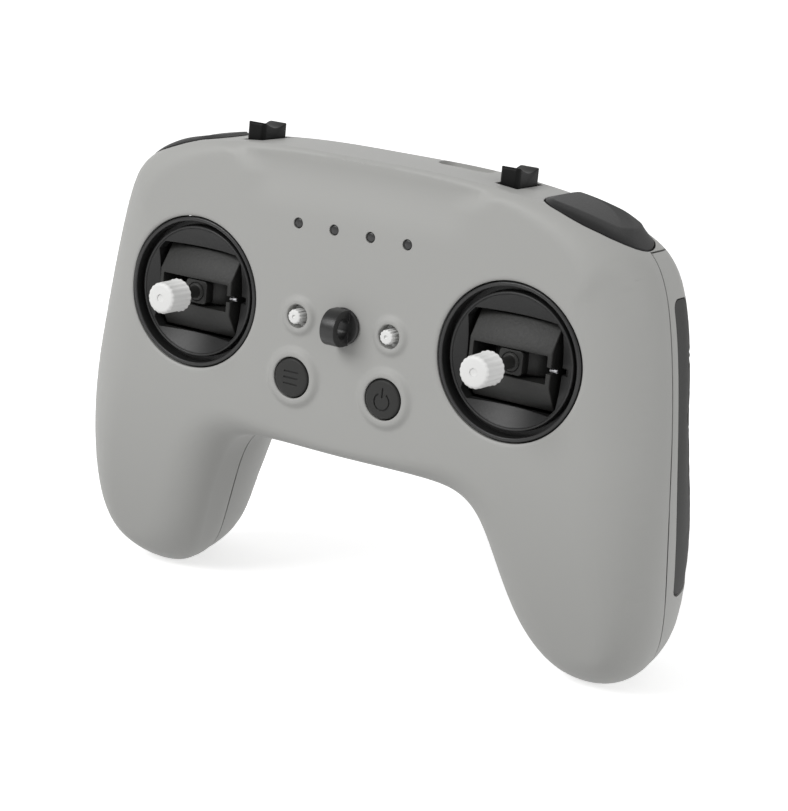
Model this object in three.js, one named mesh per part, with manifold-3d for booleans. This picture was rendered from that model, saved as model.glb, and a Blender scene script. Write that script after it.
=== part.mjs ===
// A handheld radio transmitter controller: two gimbal sticks, buttons, rockers and shoulder buttons in a
// gamepad shell with two handles. Millimetres. X runs to the right as seen from the front, Y from the
// face to the back, Z up. Pieces are modelled with the gimbal rims at Y = 0, and moved back at the end so
// that Y = 0 is the flat back panel.
import * as THREE from 'three';
import { mergeVertices } from 'three/addons/utils/BufferGeometryUtils.js';
import Module from 'manifold-3d';

const wasm = await Module();
wasm.setup();

// ---- driving dimensions ----
const GAP = 0.3;                 // clearance between neighbouring pieces
const WALL = 2.4;                // shell wall
const DEPTH = 28;                // rim plane to the flat back
const FACE = -0.2;               // the face stands just forward of the gimbal rims
const PARTING = 15.5;            // seam between the front and back shells
const TOP_PARTING = 24;          // the seam steps back along the top edge
const TOP_PARTING_HEIGHT = 27;   // height of that step
const BIG = 200;                 // larger than the object, for cutting boxes

// the handles curve backwards and get thicker towards their tips
const SAG = { start: -18, length: 50, depth: 11.5 };
const GROWTH = { startZ: -5, lengthZ: 45, startX: 22, lengthX: 20, depth: 11.5 };
const BEND_STEP = { x: 8, z: 13 };  // edges longer than this are split before a piece is bent

// half outline from the top centre round to the bottom centre, as spline control points:
// x, z, then the front edge's depth and inset, then the back edge's depth and inset
const OUTLINE = [
  [0, 38.4, 1.4, 1.1, 9, 8],
  [20, 38.5, 1.4, 1.1, 9, 8],
  [36, 37.2, 2.2, 2.4, 8.5, 8],
  [50.5, 35.3, 4.8, 5, 9, 8],
  [63.5, 30.4, 10.5, 9, 8.5, 6.5],
  [73, 22.7, 18.5, 19, 4, 3],
  [78.5, -16.6, 18.5, 19, 8, 3.5],
  [79, -44.6, 14.5, 13, 12.5, 9],
  [77, -73, 9.5, 6, 18, 13],
  [55, -78.5, 9.5, 11.5, 18, 12],
  [44.5, -63.3, 4.8, 10, 20, 12],
  [36.5, -35.6, 8.5, 12, 8, 8.5],
  [26, -31.5, 5, 4.5, 9, 10],
  [0, -32, 2.8, 2.5, 9, 10],
];
const STATIONS = 52;
const EDGE_ANGLES = [90, 56, 26, 0].map((degrees) => THREE.MathUtils.degToRad(degrees));

const GIMBAL = { x: 43, pivot: 12.5 };
const BEZEL = { radius: 17.9, inner: 16.9, front: 0.1, back: 3.4 };
const DISH = {
  radius: 17.6, front: 3.7, back: 4.5, lipOuter: 15.6, lipInner: 14.9, lipFront: 1.3, lipFoot: 15.8,
};
const BOWL = { rim: 1.5, depth: 4.2, steps: [14.7, 13.2, 11.7, 10] };
const WINDOW = { halfX: 12, halfZ: 10.4, radius: 14.65, pinNotch: 13.9, pinNotchHalf: 0.8 };
const GIMBAL_BOX = { halfX: 14.2, halfZ: 14.5, back: 22, hollowX: 12.2, hollowZ: 13.3, bearing: 1.5 };
const DRUM = {
  half: 10.4, face: 0.6, faceHalf: 4, facetEnd: [4.6, 9.9], middleHalf: 10.3, back: [20, 4.5],
  slotX: 9.35, slotZ: 3.2, pivotRadius: 1.2, pivotReach: 13.6,
};
const PIN = { start: 9.7, end: 11.7, y: 1.75, radius: 0.45 };
const STICK = {
  wheel: 9.05, wheelHalf: 2.9, padX: 3, padZ: 2.85, padFront: 1.1, padBack: 5, corner: 0.9,
  shaft: 1.4, pivotHalf: 5,
};
// the knobs screw up and down on their sticks, and the left one sits lower
const KNOB = {
  front: { left: -12.8, right: -15.2 }, length: 6.8, radius: 4, teeth: 18, tooth: 0.28, socket: 3.5,
  crown: 0.7, dimple: 1,
};
const FACE_BUTTON = { x: 12.57, z: -14.6, radius: 4.6, front: -1.25, collar: 6.1, collarFront: -1.1 };
const AUX_BUTTON = { x: 12.54, z: 0, radius: 2, hole: 2.75, front: -2.1, collar: 4, collarFront: -0.9 };
const COLLAR_SLOPE = 1.1;
const BUTTON_FLANGE = { front: 2.6, back: 3.6, spread: 1.2, stem: 1.2, stemEnd: 5.6 };
const LED = { z: 21.4, pitch: 9.82, count: 4, radius: 1.15 };
const HOOK = {
  radius: 4.35, front: -1.1, root: -0.7, plate: 1.85, height: 4.2, reach: 7.5, hole: 2.4, stem: 2.1,
};
const LIGHT_PIPE = { front: 7.4, back: 8.8, halfZ: 1.5, overhang: 2 };
const TACT = { half: 2.25, front: 7.3, plunger: 1.1, plungerFront: 6.7 };
const NUT = { front: 2.6, back: 4.2, radius: 3.6 };
const BOARD = { front: 9.5, back: 11.1, halfX: 24, bottom: -27, top: 23.5 };
const RADIO = { x: -10, z: 8, halfX: 7, halfZ: 9, height: 2.5 };
const PROCESSOR = { x: 10, z: 0, halfX: 4, halfZ: 4, height: 1.2 };
const BUZZER = { x: 12, z: -17, radius: 6, height: 3 };
const ANTENNA = { x: [-20, 12], y: [22.2, 23.4], z: [19, 30] };
const BATTERY = { y: 20.5, z: -4, halfX: 19, halfY: 4, halfZ: 17, corner: 2 };
const GIMBAL_BOARD = { gap: 0.4, thickness: 1.2, halfX: 13, halfZ: 12 };
const SWITCH_BOARD = { halfX: 60, front: 5.5, back: 21, bottom: 24.5, top: 25.7 };
const ROCKER = {
  x: 34.2, y: 12.8, z: 33.3, halfX: 2.45, halfY: 5.1, base: 35.3, top: 41.6, back: 41.1, saddle: 40.1,
  hub: 2.8, pivot: 0.8, pivotReach: 1.6, slotX: 0.5, slotY: 1, wall: 1.7, wellDepth: 3.4,
};
const USB = {
  x: 18, y: 17.5, halfX: 4.5, halfY: 1.65, top: 36, metal: 0.4, floor: 3, tongueX: 3.3, tongueY: 0.35,
  recessHalfX: 7, recessHalfY: 3.2, recessFloor: 37.1,
};
const SHOULDER = {
  proud: 1.1, under: 2, slope: 1.2, clearance: 0.4, stemX: 55, stemY: 12, stem: 2, stemEnd: 30, stemTop: 34,
  bottom: 20, switchHalf: 2, switchTop: 28.6,
};
const SHOULDER_OUTLINE = [
  [43.8, 3.7], [53, 3.3], [60, 5.8], [64.6, 9.6], [66.4, 13.8],
  [66, 19.2], [63.5, 22.2], [46, 22.2], [43.8, 20.4],
];
const SHOULDER_CENTRE = [55, 12.7];
const DOOR = { halfX: 22, top: 10, front: 19 };
const DOOR_GROOVES = { count: 3, halfX: 7, halfZ: 0.6, depth: 0.5, top: -2, pitch: 3 };
const GRIP = { front: 18.3, back: 25.5, top: 17, bottom: -52, inner: 60, sink: 0.2, seat: 1.5, corner: 2.5 };
const SCREWS = [[64.5, 14], [60, -46]];
const SCREW = {
  head: 2.5, headHeight: 1.8, shank: 1.3, bore: 1.6, counterbore: 2.9, seat: 18.5, tip: 8,
  boss: 3.3, post: 3.9,
};

// ---- materials ----
const material = (color, roughness, metalness) => (
  new THREE.MeshStandardMaterial({ color, roughness, metalness }));
const MATERIALS = {
  shell: material('#a6a6a3', 0.55, 0),
  black: material('#2b2b2b', 0.45, 0),
  button: material('#3f3f3e', 0.5, 0),
  rubber: material('#454544', 0.85, 0),
  white: material('#e6e6e4', 0.45, 0),
  smoke: material('#555553', 0.25, 0),
  steel: material('#b8babd', 0.3, 1),
  board: material('#1f5a3a', 0.6, 0),
  chip: material('#202124', 0.5, 0),
  battery: material('#3c6ea8', 0.5, 0),
};

// ---- geometry helpers ----
function solid(geometry) {
  const plain = geometry.clone();
  plain.deleteAttribute('normal');
  plain.deleteAttribute('uv');
  const merged = mergeVertices(plain, 1e-4);
  return new wasm.Manifold(new wasm.Mesh({
    numProp: 3,
    vertProperties: new Float32Array(merged.attributes.position.array),
    triVerts: new Uint32Array(merged.index.array),
  }));
}

function toGeometry(shape) {
  const mesh = shape.getMesh();
  const geometry = new THREE.BufferGeometry();
  const positions = new Float32Array(mesh.numVert * 3);
  for (let i = 0; i < mesh.numVert; i++) {
    for (let axis = 0; axis < 3; axis++) {
      positions[3 * i + axis] = mesh.vertProperties[mesh.numProp * i + axis];
    }
  }
  geometry.setAttribute('position', new THREE.BufferAttribute(positions, 3));
  geometry.setIndex(new THREE.BufferAttribute(new Uint32Array(mesh.triVerts), 1));
  return geometry;
}

const joined = (...shapes) => shapes.reduce((sum, shape) => sum.add(shape));
const cut = (shape, ...tools) => tools.reduce((rest, tool) => rest.subtract(tool), shape);

function box([x0, x1], [y0, y1], [z0, z1]) {
  const geometry = new THREE.BoxGeometry(x1 - x0, y1 - y0, z1 - z0);
  geometry.translate((x0 + x1) / 2, (y0 + y1) / 2, (z0 + z1) / 2);
  return solid(geometry);
}

const around = (centre, half) => [centre - half, centre + half];

// a cylinder or cone along Y
function discY(x, z, [y0, y1], radius, frontRadius = radius, segments = 24) {
  const geometry = new THREE.CylinderGeometry(radius, frontRadius, y1 - y0, segments);
  geometry.translate(x, (y0 + y1) / 2, z);
  return solid(geometry);
}

function rodX([x0, x1], y, z, radius, segments = 20) {
  const geometry = new THREE.CylinderGeometry(radius, radius, x1 - x0, segments);
  geometry.rotateZ(Math.PI / 2);
  geometry.translate((x0 + x1) / 2, y, z);
  return solid(geometry);
}

function rodZ(x, y, [z0, z1], radius, segments = 20) {
  const geometry = new THREE.CylinderGeometry(radius, radius, z1 - z0, segments);
  geometry.rotateX(Math.PI / 2);
  geometry.translate(x, y, (z0 + z1) / 2);
  return solid(geometry);
}

// a profile of [radius, y] points turned about a Y axis through (x, z)
function turned(x, z, profile, segments = 36) {
  const points = profile.map(([radius, y]) => new THREE.Vector2(radius, y));
  const geometry = new THREE.LatheGeometry(points, segments);
  geometry.translate(x, 0, z);
  return solid(geometry);
}

function shapeOf(points) {
  return new THREE.Shape(points.map(([a, b]) => new THREE.Vector2(a, b)));
}

// a shape drawn in x and z, extruded along Y
function prismY(shape, [y0, y1]) {
  const geometry = new THREE.ExtrudeGeometry(shape, { depth: y1 - y0, bevelEnabled: false, curveSegments: 5 });
  geometry.rotateX(Math.PI / 2);
  geometry.translate(0, y1, 0);
  return solid(geometry);
}

// a shape drawn in x and y, extruded along Z
function prismZ(shape, [z0, z1]) {
  const geometry = new THREE.ExtrudeGeometry(shape, { depth: z1 - z0, bevelEnabled: false, curveSegments: 5 });
  geometry.translate(0, 0, z0);
  return solid(geometry);
}

// a shape drawn in y and z, extruded along X
function prismX(shape, [x0, x1]) {
  const geometry = new THREE.ExtrudeGeometry(shape, { depth: x1 - x0, bevelEnabled: false, curveSegments: 5 });
  geometry.applyMatrix4(new THREE.Matrix4().makeBasis(
    new THREE.Vector3(0, 1, 0), new THREE.Vector3(0, 0, 1), new THREE.Vector3(1, 0, 0)));
  geometry.translate(x0, 0, 0);
  return solid(geometry);
}

// a rectangle with rounded corners, centred on (a, b)
function roundedRectangle(a, b, halfA, halfB, corner) {
  const shape = new THREE.Shape();
  shape.absarc(a + halfA - corner, b + halfB - corner, corner, 0, Math.PI / 2);
  shape.absarc(a - halfA + corner, b + halfB - corner, corner, Math.PI / 2, Math.PI);
  shape.absarc(a - halfA + corner, b - halfB + corner, corner, Math.PI, 1.5 * Math.PI);
  shape.absarc(a + halfA - corner, b - halfB + corner, corner, 1.5 * Math.PI, 2 * Math.PI);
  return shape;
}

// ---- the body's outer form ----
function outlineStations() {
  const mirrored = OUTLINE.slice(1, -1).reverse().map(([x, ...rest]) => [-x, ...rest]);
  const loop = [...OUTLINE, ...mirrored];
  const result = [];
  for (let i = 0; i < STATIONS; i++) {
    const at = (i / STATIONS) * loop.length;
    const first = Math.floor(at);
    const u = at - first;
    const weights = [(1 - u) ** 3, 3 * u ** 3 - 6 * u ** 2 + 4, -3 * u ** 3 + 3 * u ** 2 + 3 * u + 1, u ** 3];
    const blend = (column) => weights.reduce((sum, weight, k) => (
      sum + (weight / 6) * loop[(first + k - 1 + loop.length) % loop.length][column]), 0);
    const [x, z, frontDepth, frontInset, backDepth, backInset] = OUTLINE[0].map((_, column) => blend(column));
    result.push({ x, z, frontDepth, frontInset, backDepth, backInset });
  }
  return result.map((station, i) => {
    const before = result[(i - 1 + STATIONS) % STATIONS];
    const after = result[(i + 1) % STATIONS];
    const inward = new THREE.Vector2(after.z - before.z, before.x - after.x).normalize();
    return { ...station, inward };
  });
}

// the body as a closed solid, shrunk by the given thickness (or swollen, when it is negative)
function bodyForm(shrink) {
  const outline = outlineStations();
  const atLeast = (value) => Math.max(value, 0.4);
  const ring = (station, angle, front) => {
    const backDepth = Math.min(station.backDepth, DEPTH - station.frontDepth - 1);
    const depth = atLeast((front ? station.frontDepth - FACE : backDepth) - shrink);
    const spread = atLeast((front ? station.frontInset : station.backInset) - shrink);
    const inset = shrink + spread * (1 - Math.cos(angle));
    const drop = shrink + depth * (1 - Math.sin(angle));
    const y = front ? FACE + drop : DEPTH - drop;
    return [station.x + station.inward.x * inset, y, station.z + station.inward.y * inset];
  };
  const backAngles = [...EDGE_ANGLES].reverse();
  const rings = [
    ...EDGE_ANGLES.map((angle) => outline.map((station) => ring(station, angle, true))),
    ...backAngles.map((angle) => outline.map((station) => ring(station, angle, false))),
  ];
  const indices = [];
  for (let r = 0; r < rings.length - 1; r++) {
    for (let i = 0; i < STATIONS; i++) {
      const next = (i + 1) % STATIONS;
      const [a, b] = [r * STATIONS + i, r * STATIONS + next];
      const [c, d] = [b + STATIONS, a + STATIONS];
      indices.push(a, b, c, a, c, d);
    }
  }
  const cap = (ringIndex, reversed) => {
    const contour = rings[ringIndex].map(([x, , z]) => new THREE.Vector2(x, z));
    for (const [a, b, c] of THREE.ShapeUtils.triangulateShape(contour, [])) {
      const start = ringIndex * STATIONS;
      indices.push(start + a, start + (reversed ? c : b), start + (reversed ? b : c));
    }
  };
  cap(0, false);
  cap(rings.length - 1, true);
  const geometry = new THREE.BufferGeometry();
  geometry.setAttribute('position', new THREE.BufferAttribute(new Float32Array(rings.flat(2)), 3));
  geometry.setIndex(indices);
  return solid(geometry);
}

// where a point of the straight body goes once the handles are bent
function bentY(x, y, z) {
  const sag = Math.max((SAG.start - z) / SAG.length, 0);
  const growZ = THREE.MathUtils.smoothstep(GROWTH.startZ - z, 0, GROWTH.lengthZ);
  const growX = THREE.MathUtils.smoothstep(Math.abs(x) - GROWTH.startX, 0, GROWTH.lengthX);
  const behind = THREE.MathUtils.clamp((y - PARTING) / (DEPTH - PARTING), 0, 1);
  return y + SAG.depth * sag ** 2 + GROWTH.depth * growZ * growX * behind;
}

// whether an edge is too long to follow the bend once its ends have moved
function needsSplit(a, b) {
  const [low, high] = [Math.min(Math.abs(a.x), Math.abs(b.x)), Math.max(Math.abs(a.x), Math.abs(b.x))];
  const inBend = Math.min(a.z, b.z) < GROWTH.startZ;
  const inFlank = high > GROWTH.startX && low < GROWTH.startX + GROWTH.lengthX && Math.max(a.y, b.y) > PARTING;
  return inBend && (Math.abs(a.z - b.z) > BEND_STEP.z || (inFlank && Math.abs(a.x - b.x) > BEND_STEP.x));
}

// bends a straight solid, after splitting its long edges
function bent(shape) {
  const corners = toGeometry(shape).toNonIndexed().attributes.position;
  const waiting = [];
  for (let i = 0; i < corners.count; i += 3) {
    waiting.push([0, 1, 2].map((k) => new THREE.Vector3().fromBufferAttribute(corners, i + k)));
  }
  const finished = [];
  while (waiting.length > 0) {
    const [p, q, r] = waiting.pop();
    const turns = [[p, q, r], [q, r, p], [r, p, q]].filter(([a, b]) => needsSplit(a, b));
    if (turns.length === 0) {
      finished.push(...[p, q, r].map((point) => point.clone().setY(bentY(point.x, point.y, point.z))));
    } else {
      const length = ([a, b]) => a.distanceTo(b);
      const [a, b, c] = turns.reduce((longest, turn) => (length(turn) > length(longest) ? turn : longest));
      const middle = a.clone().add(b).multiplyScalar(0.5);
      waiting.push([a, middle, c], [middle, b, c]);
    }
  }
  return solid(new THREE.BufferGeometry().setFromPoints(finished));
}

// ---- openings shared by the shell and the pieces that fill them ----
function shoulderFootprint(side, swell) {
  const [centreX, centreY] = SHOULDER_CENTRE;
  const spread = SHOULDER_OUTLINE.map(([x, y]) => {
    const [dx, dy] = [x - centreX, y - centreY];
    const scale = 1 + swell / Math.hypot(dx, dy);
    return [side * (centreX + dx * scale), centreY + dy * scale];
  });
  return prismZ(shapeOf(spread), [SHOULDER.bottom, BIG]);
}

function gripRegion(side, swell) {
  const rectangle = roundedRectangle(
    (GRIP.front + GRIP.back) / 2, (GRIP.top + GRIP.bottom) / 2,
    (GRIP.back - GRIP.front) / 2 + swell, (GRIP.top - GRIP.bottom) / 2 + swell, GRIP.corner);
  const reach = side > 0 ? [GRIP.inner, BIG] : [-BIG, -GRIP.inner];
  return prismX(rectangle, reach);
}

const sides = [[-1, 'left'], [1, 'right']];
const outer = bodyForm(0);
const cavity = bodyForm(WALL);
const screwPlaces = sides.flatMap(([side]) => SCREWS.map(([x, z]) => [side * x, z]));

// ---- the two shells and the door ----
function frontShell() {
  const region = joined(
    box([-BIG, BIG], [-BIG, PARTING - GAP / 2], [-BIG, BIG]),
    box([-BIG, BIG], [0, TOP_PARTING - GAP / 2], [TOP_PARTING_HEIGHT + GAP / 2, BIG]));
  const collars = sides.flatMap(([side]) => [FACE_BUTTON, AUX_BUTTON].map(({ x, z, collar, collarFront }) => (
    discY(side * x, z, [collarFront, FACE + 1], collar + COLLAR_SLOPE, collar))));
  const bosses = screwPlaces.map(([x, z]) => (
    discY(x, z, [FACE + 1, PARTING - GAP / 2], SCREW.boss, SCREW.boss, 20).intersect(outer)));
  const through = [-BIG, WALL + FACE + 1.5];
  const openings = sides.flatMap(([side]) => [
    discY(side * GIMBAL.x, 0, through, BEZEL.radius + GAP, BEZEL.radius + GAP, 36),
    discY(side * FACE_BUTTON.x, FACE_BUTTON.z, through, FACE_BUTTON.radius + GAP),
    discY(side * AUX_BUTTON.x, AUX_BUTTON.z, through, AUX_BUTTON.hole),
    box(around(side * ROCKER.x, ROCKER.halfX + ROCKER.slotX), around(ROCKER.y, ROCKER.halfY + ROCKER.slotY),
      [ROCKER.z - 1, BIG]),
    shoulderFootprint(side, SHOULDER.clearance),
  ]);
  const leds = ledPlaces().map((x) => discY(x, LED.z, through, LED.radius + GAP, LED.radius + GAP, 20));
  const hookHole = discY(0, 0, through, HOOK.stem + GAP, HOOK.stem + GAP, 20);
  const bores = screwPlaces.map(([x, z]) => (
    discY(x, z, [SCREW.tip - 1, PARTING + 1], SCREW.bore, SCREW.bore, 16)));
  const shape = cut(joined(outer.subtract(cavity).intersect(region), ...collars, ...bosses),
    ...openings, ...leds, hookHole, ...bores, ...usbOpening());
  return bent(shape);
}

function usbOpening() {
  const port = roundedRectangle(USB.x, USB.y, USB.halfX + GAP, USB.halfY + GAP, USB.halfY);
  const recess = roundedRectangle(USB.x, USB.y, USB.recessHalfX, USB.recessHalfY, USB.recessHalfY - 0.2);
  return [
    prismZ(port, [SWITCH_BOARD.top, BIG]),
    prismZ(recess, [USB.recessFloor, BIG]),
  ];
}

function backShell() {
  const region = cut(
    box([-BIG, BIG], [PARTING + GAP / 2, BIG], [-BIG, BIG]),
    box([-BIG, BIG], [-BIG, TOP_PARTING + GAP / 2], [TOP_PARTING_HEIGHT - GAP / 2, BIG]));
  const posts = screwPlaces.map(([x, z]) => (
    discY(x, z, [PARTING + GAP / 2, DEPTH], SCREW.post, SCREW.post, 20).intersect(outer)));
  const seat = bodyForm(GRIP.seat);
  const gripSeats = sides.map(([side]) => gripRegion(side, GAP).subtract(seat));
  const doorway = box([-DOOR.halfX, DOOR.halfX], [DOOR.front, BIG], [-BIG, DOOR.top]);
  const holes = screwPlaces.flatMap(([x, z]) => [
    discY(x, z, [PARTING, BIG], SCREW.bore, SCREW.bore, 16),
    discY(x, z, [SCREW.seat, BIG], SCREW.counterbore, SCREW.counterbore, 24),
  ]);
  const shoulders = sides.map(([side]) => shoulderFootprint(side, SHOULDER.clearance));
  return bent(cut(joined(outer.subtract(cavity).intersect(region), ...posts),
    doorway, ...gripSeats, ...holes, ...shoulders));
}

function batteryDoor() {
  const region = box([-DOOR.halfX + GAP, DOOR.halfX - GAP], [DOOR.front + GAP, BIG], [-BIG, DOOR.top - GAP]);
  const { count, halfX, halfZ, depth, top, pitch } = DOOR_GROOVES;
  const grooves = Array.from({ length: count }, (_, i) => (
    box(around(0, halfX), [DEPTH - depth, BIG], around(top - pitch * i, halfZ))));
  return bent(cut(outer.subtract(cavity).intersect(region), ...grooves));
}

function grip(side) {
  return bent(bodyForm(GRIP.sink).subtract(bodyForm(GRIP.seat - GAP)).intersect(gripRegion(side, 0)));
}

function screw([x, z]) {
  const seat = bentY(x, SCREW.seat, z) + 1;
  const tip = bentY(x, SCREW.tip, z);
  return joined(
    discY(x, z, [tip, seat + 0.1], SCREW.shank, SCREW.shank, 12),
    discY(x, z, [seat, seat + SCREW.headHeight], SCREW.head, SCREW.head, 20));
}

// ---- gimbals ----
function gimbalBezel(x) {
  const { radius, inner, front, back } = BEZEL;
  return turned(x, 0, [
    [inner, back], [inner, front + 0.2], [inner + 0.2, front], [radius - 0.4, front], [radius, front + 0.35],
    [radius, back], [inner, back],
  ]);
}

function gimbalHousing(x) {
  const bowl = BOWL.steps.map((radius) => (
    [radius, BOWL.rim + BOWL.depth * (1 - (radius / DISH.lipInner) ** 2)]));
  const dish = turned(x, 0, [
    [0, DISH.back], [DISH.radius, DISH.back], [DISH.radius, DISH.front], [DISH.lipFoot, DISH.front],
    [DISH.lipOuter, DISH.lipFront + 0.2], [DISH.lipOuter - 0.2, DISH.lipFront], [DISH.lipInner, DISH.lipFront],
    ...bowl, [0, DISH.back - 0.4],
  ].reverse());
  const { halfX, halfZ, back, hollowX, hollowZ, bearing } = GIMBAL_BOX;
  const frame = box(around(x, halfX), [DISH.back - 0.3, back], around(0, halfZ));
  const hollow = box(around(x, hollowX), [DISH.back, BIG], around(0, hollowZ));
  const through = [-BIG, DISH.back + 0.1];
  const opening = discY(x, 0, through, WINDOW.radius, WINDOW.radius, 36)
    .intersect(box(around(x, WINDOW.halfX), through, around(0, WINDOW.halfZ)));
  const pinNotch = box([x, x + WINDOW.pinNotch], through, around(0, WINDOW.pinNotchHalf));
  const bearings = rodX(around(x, halfX + 1), GIMBAL.pivot, 0, bearing);
  return cut(joined(dish, frame), hollow, opening, pinNotch, bearings);
}

function gimbalDrum(x) {
  const { half, face, faceHalf, facetEnd, middleHalf, back, slotX, slotZ, pivotRadius, pivotReach } = DRUM;
  const upper = [[face, faceHalf], facetEnd, [GIMBAL.pivot, middleHalf], back];
  const lower = [...upper].reverse().map(([y, z]) => [y, -z]);
  const drum = prismX(shapeOf([...upper, ...lower]), around(x, half));
  const slot = box(around(x, slotX), [-BIG, BIG], around(0, slotZ));
  const pivots = rodX(around(x, pivotReach), GIMBAL.pivot, 0, pivotRadius);
  const stickBores = rodZ(x, GIMBAL.pivot, around(0, STICK.pivotHalf + 0.5), pivotRadius);
  const { y, radius } = PIN;
  const notch = box([x + slotX - 0.1, x + half + 1], [-BIG, y + radius + GAP], around(0, radius + GAP));
  return cut(joined(drum, pivots), slot, stickBores, notch);
}

function retainingPin(x) {
  return rodX([x + PIN.start, x + PIN.end], PIN.y, 0, PIN.radius, 12);
}

// a wheel that fills the drum's slot, with a square foot on its rim for the shaft
function stick(x, name) {
  const { wheel, wheelHalf, padX, padZ, padFront, padBack, corner, shaft, pivotHalf } = STICK;
  return joined(
    rodZ(x, GIMBAL.pivot, around(0, wheelHalf), wheel, 44),
    prismY(roundedRectangle(x, 0, padX, padZ, corner), [padFront, padBack]),
    rodZ(x, GIMBAL.pivot, around(0, pivotHalf), DRUM.pivotRadius - GAP),
    discY(x, 0, [KNOB.front[name] + KNOB.length - KNOB.socket + 1, padFront + 0.5], shaft, shaft, 16));
}

function stickEnd(x, name) {
  const { length, radius, teeth, tooth, socket, crown, dimple } = KNOB;
  const front = KNOB.front[name];
  const back = front + length;
  const points = [];
  for (let i = 0; i < 2 * teeth; i++) {
    const angle = (i / (2 * teeth)) * 2 * Math.PI;
    const reach = i % 2 ? radius : radius - tooth;
    points.push([x + reach * Math.cos(angle), reach * Math.sin(angle)]);
  }
  const knurled = prismY(shapeOf(points), [front + crown, back]);
  const top = discY(x, 0, [front, front + crown + 0.1], radius - tooth, radius - tooth - crown, 32);
  const bore = discY(x, 0, [back - socket, back + 1], STICK.shaft + GAP, STICK.shaft + GAP, 16);
  const hollow = discY(x, 0, [front - 1, front + 0.6], dimple, dimple, 16);
  return cut(joined(knurled, top), hollow, bore);
}

function gimbalBoard(x) {
  const { gap, thickness, halfX, halfZ } = GIMBAL_BOARD;
  const front = GIMBAL_BOX.back + gap;
  return box(around(x, halfX), [front, front + thickness], around(0, halfZ));
}

// ---- front controls ----
function faceButton(x, z, radius, front) {
  const { front: flangeFront, back, spread, stem, stemEnd } = BUTTON_FLANGE;
  return turned(x, z, [
    [0, front], [radius - 0.5, front], [radius, front + 0.5],
    [radius, flangeFront], [radius + spread, flangeFront],
    [radius + spread, back], [stem, back], [stem, stemEnd], [0, stemEnd],
  ], 28);
}

function tactSwitch(x, z) {
  return joined(
    box(around(x, TACT.half), [TACT.front, BOARD.front - GAP], around(z, TACT.half)),
    discY(x, z, [TACT.plungerFront, TACT.front + 0.1], TACT.plunger, TACT.plunger, 12));
}

function ledPlaces() {
  return Array.from({ length: LED.count }, (_, i) => (i - (LED.count - 1) / 2) * LED.pitch);
}

function lightPipe() {
  const { front, back, halfZ, overhang } = LIGHT_PIPE;
  const bar = box(around(0, ledPlaces().at(-1) + overhang), [front, back], around(LED.z, halfZ));
  const posts = ledPlaces().map((x) => discY(x, LED.z, [FACE + 0.1, front + 0.1], LED.radius, LED.radius, 20));
  return joined(bar, ...posts);
}

function lanyardHook() {
  const { radius, front, root, plate, height, reach, hole, stem } = HOOK;
  const base = discY(0, 0, [front, FACE - GAP], radius, radius - 0.3);
  const post = discY(0, 0, [front + 0.2, BUTTON_FLANGE.stemEnd], stem, stem, 20);
  const profile = new THREE.Shape();
  profile.moveTo(root, -height);
  profile.lineTo(root, height);
  profile.lineTo(-reach + height, height);
  profile.absarc(-reach + height, 0, height, Math.PI / 2, 1.5 * Math.PI);
  const bail = prismX(profile, around(0, plate));
  return cut(joined(base, post, bail), rodX(around(0, plate + 1), -reach + height, 0, hole));
}

function hookNut() {
  const bore = HOOK.stem + GAP;
  return discY(0, 0, [NUT.front, NUT.back], NUT.radius, NUT.radius, 6)
    .subtract(discY(0, 0, [NUT.front - 1, NUT.back + 1], bore, bore, 20));
}

// ---- top controls ----
function rocker(side) {
  const { x, y, z, halfX, halfY, base, top, back, saddle, hub, pivot, pivotReach } = ROCKER;
  const profile = new THREE.Shape();
  profile.moveTo(y - halfY, base);
  profile.lineTo(y + halfY, base);
  profile.lineTo(y + halfY - 0.2, back - 0.5);
  profile.lineTo(y + halfY - 0.7, back);
  profile.quadraticCurveTo(y, 2 * saddle - (top + back) / 2, y - halfY + 0.7, top);
  profile.lineTo(y - halfY + 0.2, top - 0.5);
  return joined(
    prismX(profile, around(side * x, halfX)),
    box(around(side * x, halfX - 0.2), around(y, hub), [z, base + 0.1]),
    rodX(around(side * x, halfX - 0.2), y, z, hub),
    rodX(around(side * x, halfX + pivotReach), y, z, pivot, 12));
}

function rockerHousing(side) {
  const { x, y, z, halfX, halfY, pivot, wall, wellDepth } = ROCKER;
  const block = box(around(side * x, halfX + wall), around(y, halfY), [SWITCH_BOARD.top + GAP, z + 0.2]);
  const well = box(around(side * x, halfX + GAP), [0, BIG], [z - wellDepth, BIG]);
  return cut(block, well, rodX(around(side * x, halfX + 2 * wall), y, z, pivot + GAP, 12));
}

function usbPort() {
  const bottom = SWITCH_BOARD.top + GAP;
  const body = prismZ(roundedRectangle(USB.x, USB.y, USB.halfX, USB.halfY, USB.halfY - 0.1), [bottom, USB.top]);
  const inside = [USB.halfX - USB.metal, USB.halfY - USB.metal];
  const mouth = prismZ(roundedRectangle(USB.x, USB.y, ...inside, inside[1] - 0.1), [bottom + USB.floor, BIG]);
  const tongue = box(around(USB.x, USB.tongueX), around(USB.y, USB.tongueY),
    [bottom + USB.floor - 0.1, USB.top - 1]);
  return joined(body.subtract(mouth), tongue);
}

function shoulderButton(side) {
  const { proud, slope, stemX, stemY, stemEnd, stemTop } = SHOULDER;
  const cap = shoulderFootprint(side, -slope).intersect(bodyForm(-proud));
  const skirt = shoulderFootprint(side, 0).intersect(bodyForm(-proud / 2));
  const stem = rodZ(side * stemX, stemY, [stemEnd, stemTop], SHOULDER.stem);
  const under = bodyForm(SHOULDER.under);
  // the second one opens the front edge, which would hang down in front of the first
  return joined(cut(joined(cap, skirt), under, under.translate(0, -SHOULDER.under, 0)), stem);
}

function shoulderSwitch(side) {
  const { stemX, stemY, switchHalf, switchTop } = SHOULDER;
  return box(around(side * stemX, switchHalf), around(stemY, switchHalf), [SWITCH_BOARD.top + GAP, switchTop]);
}

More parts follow.
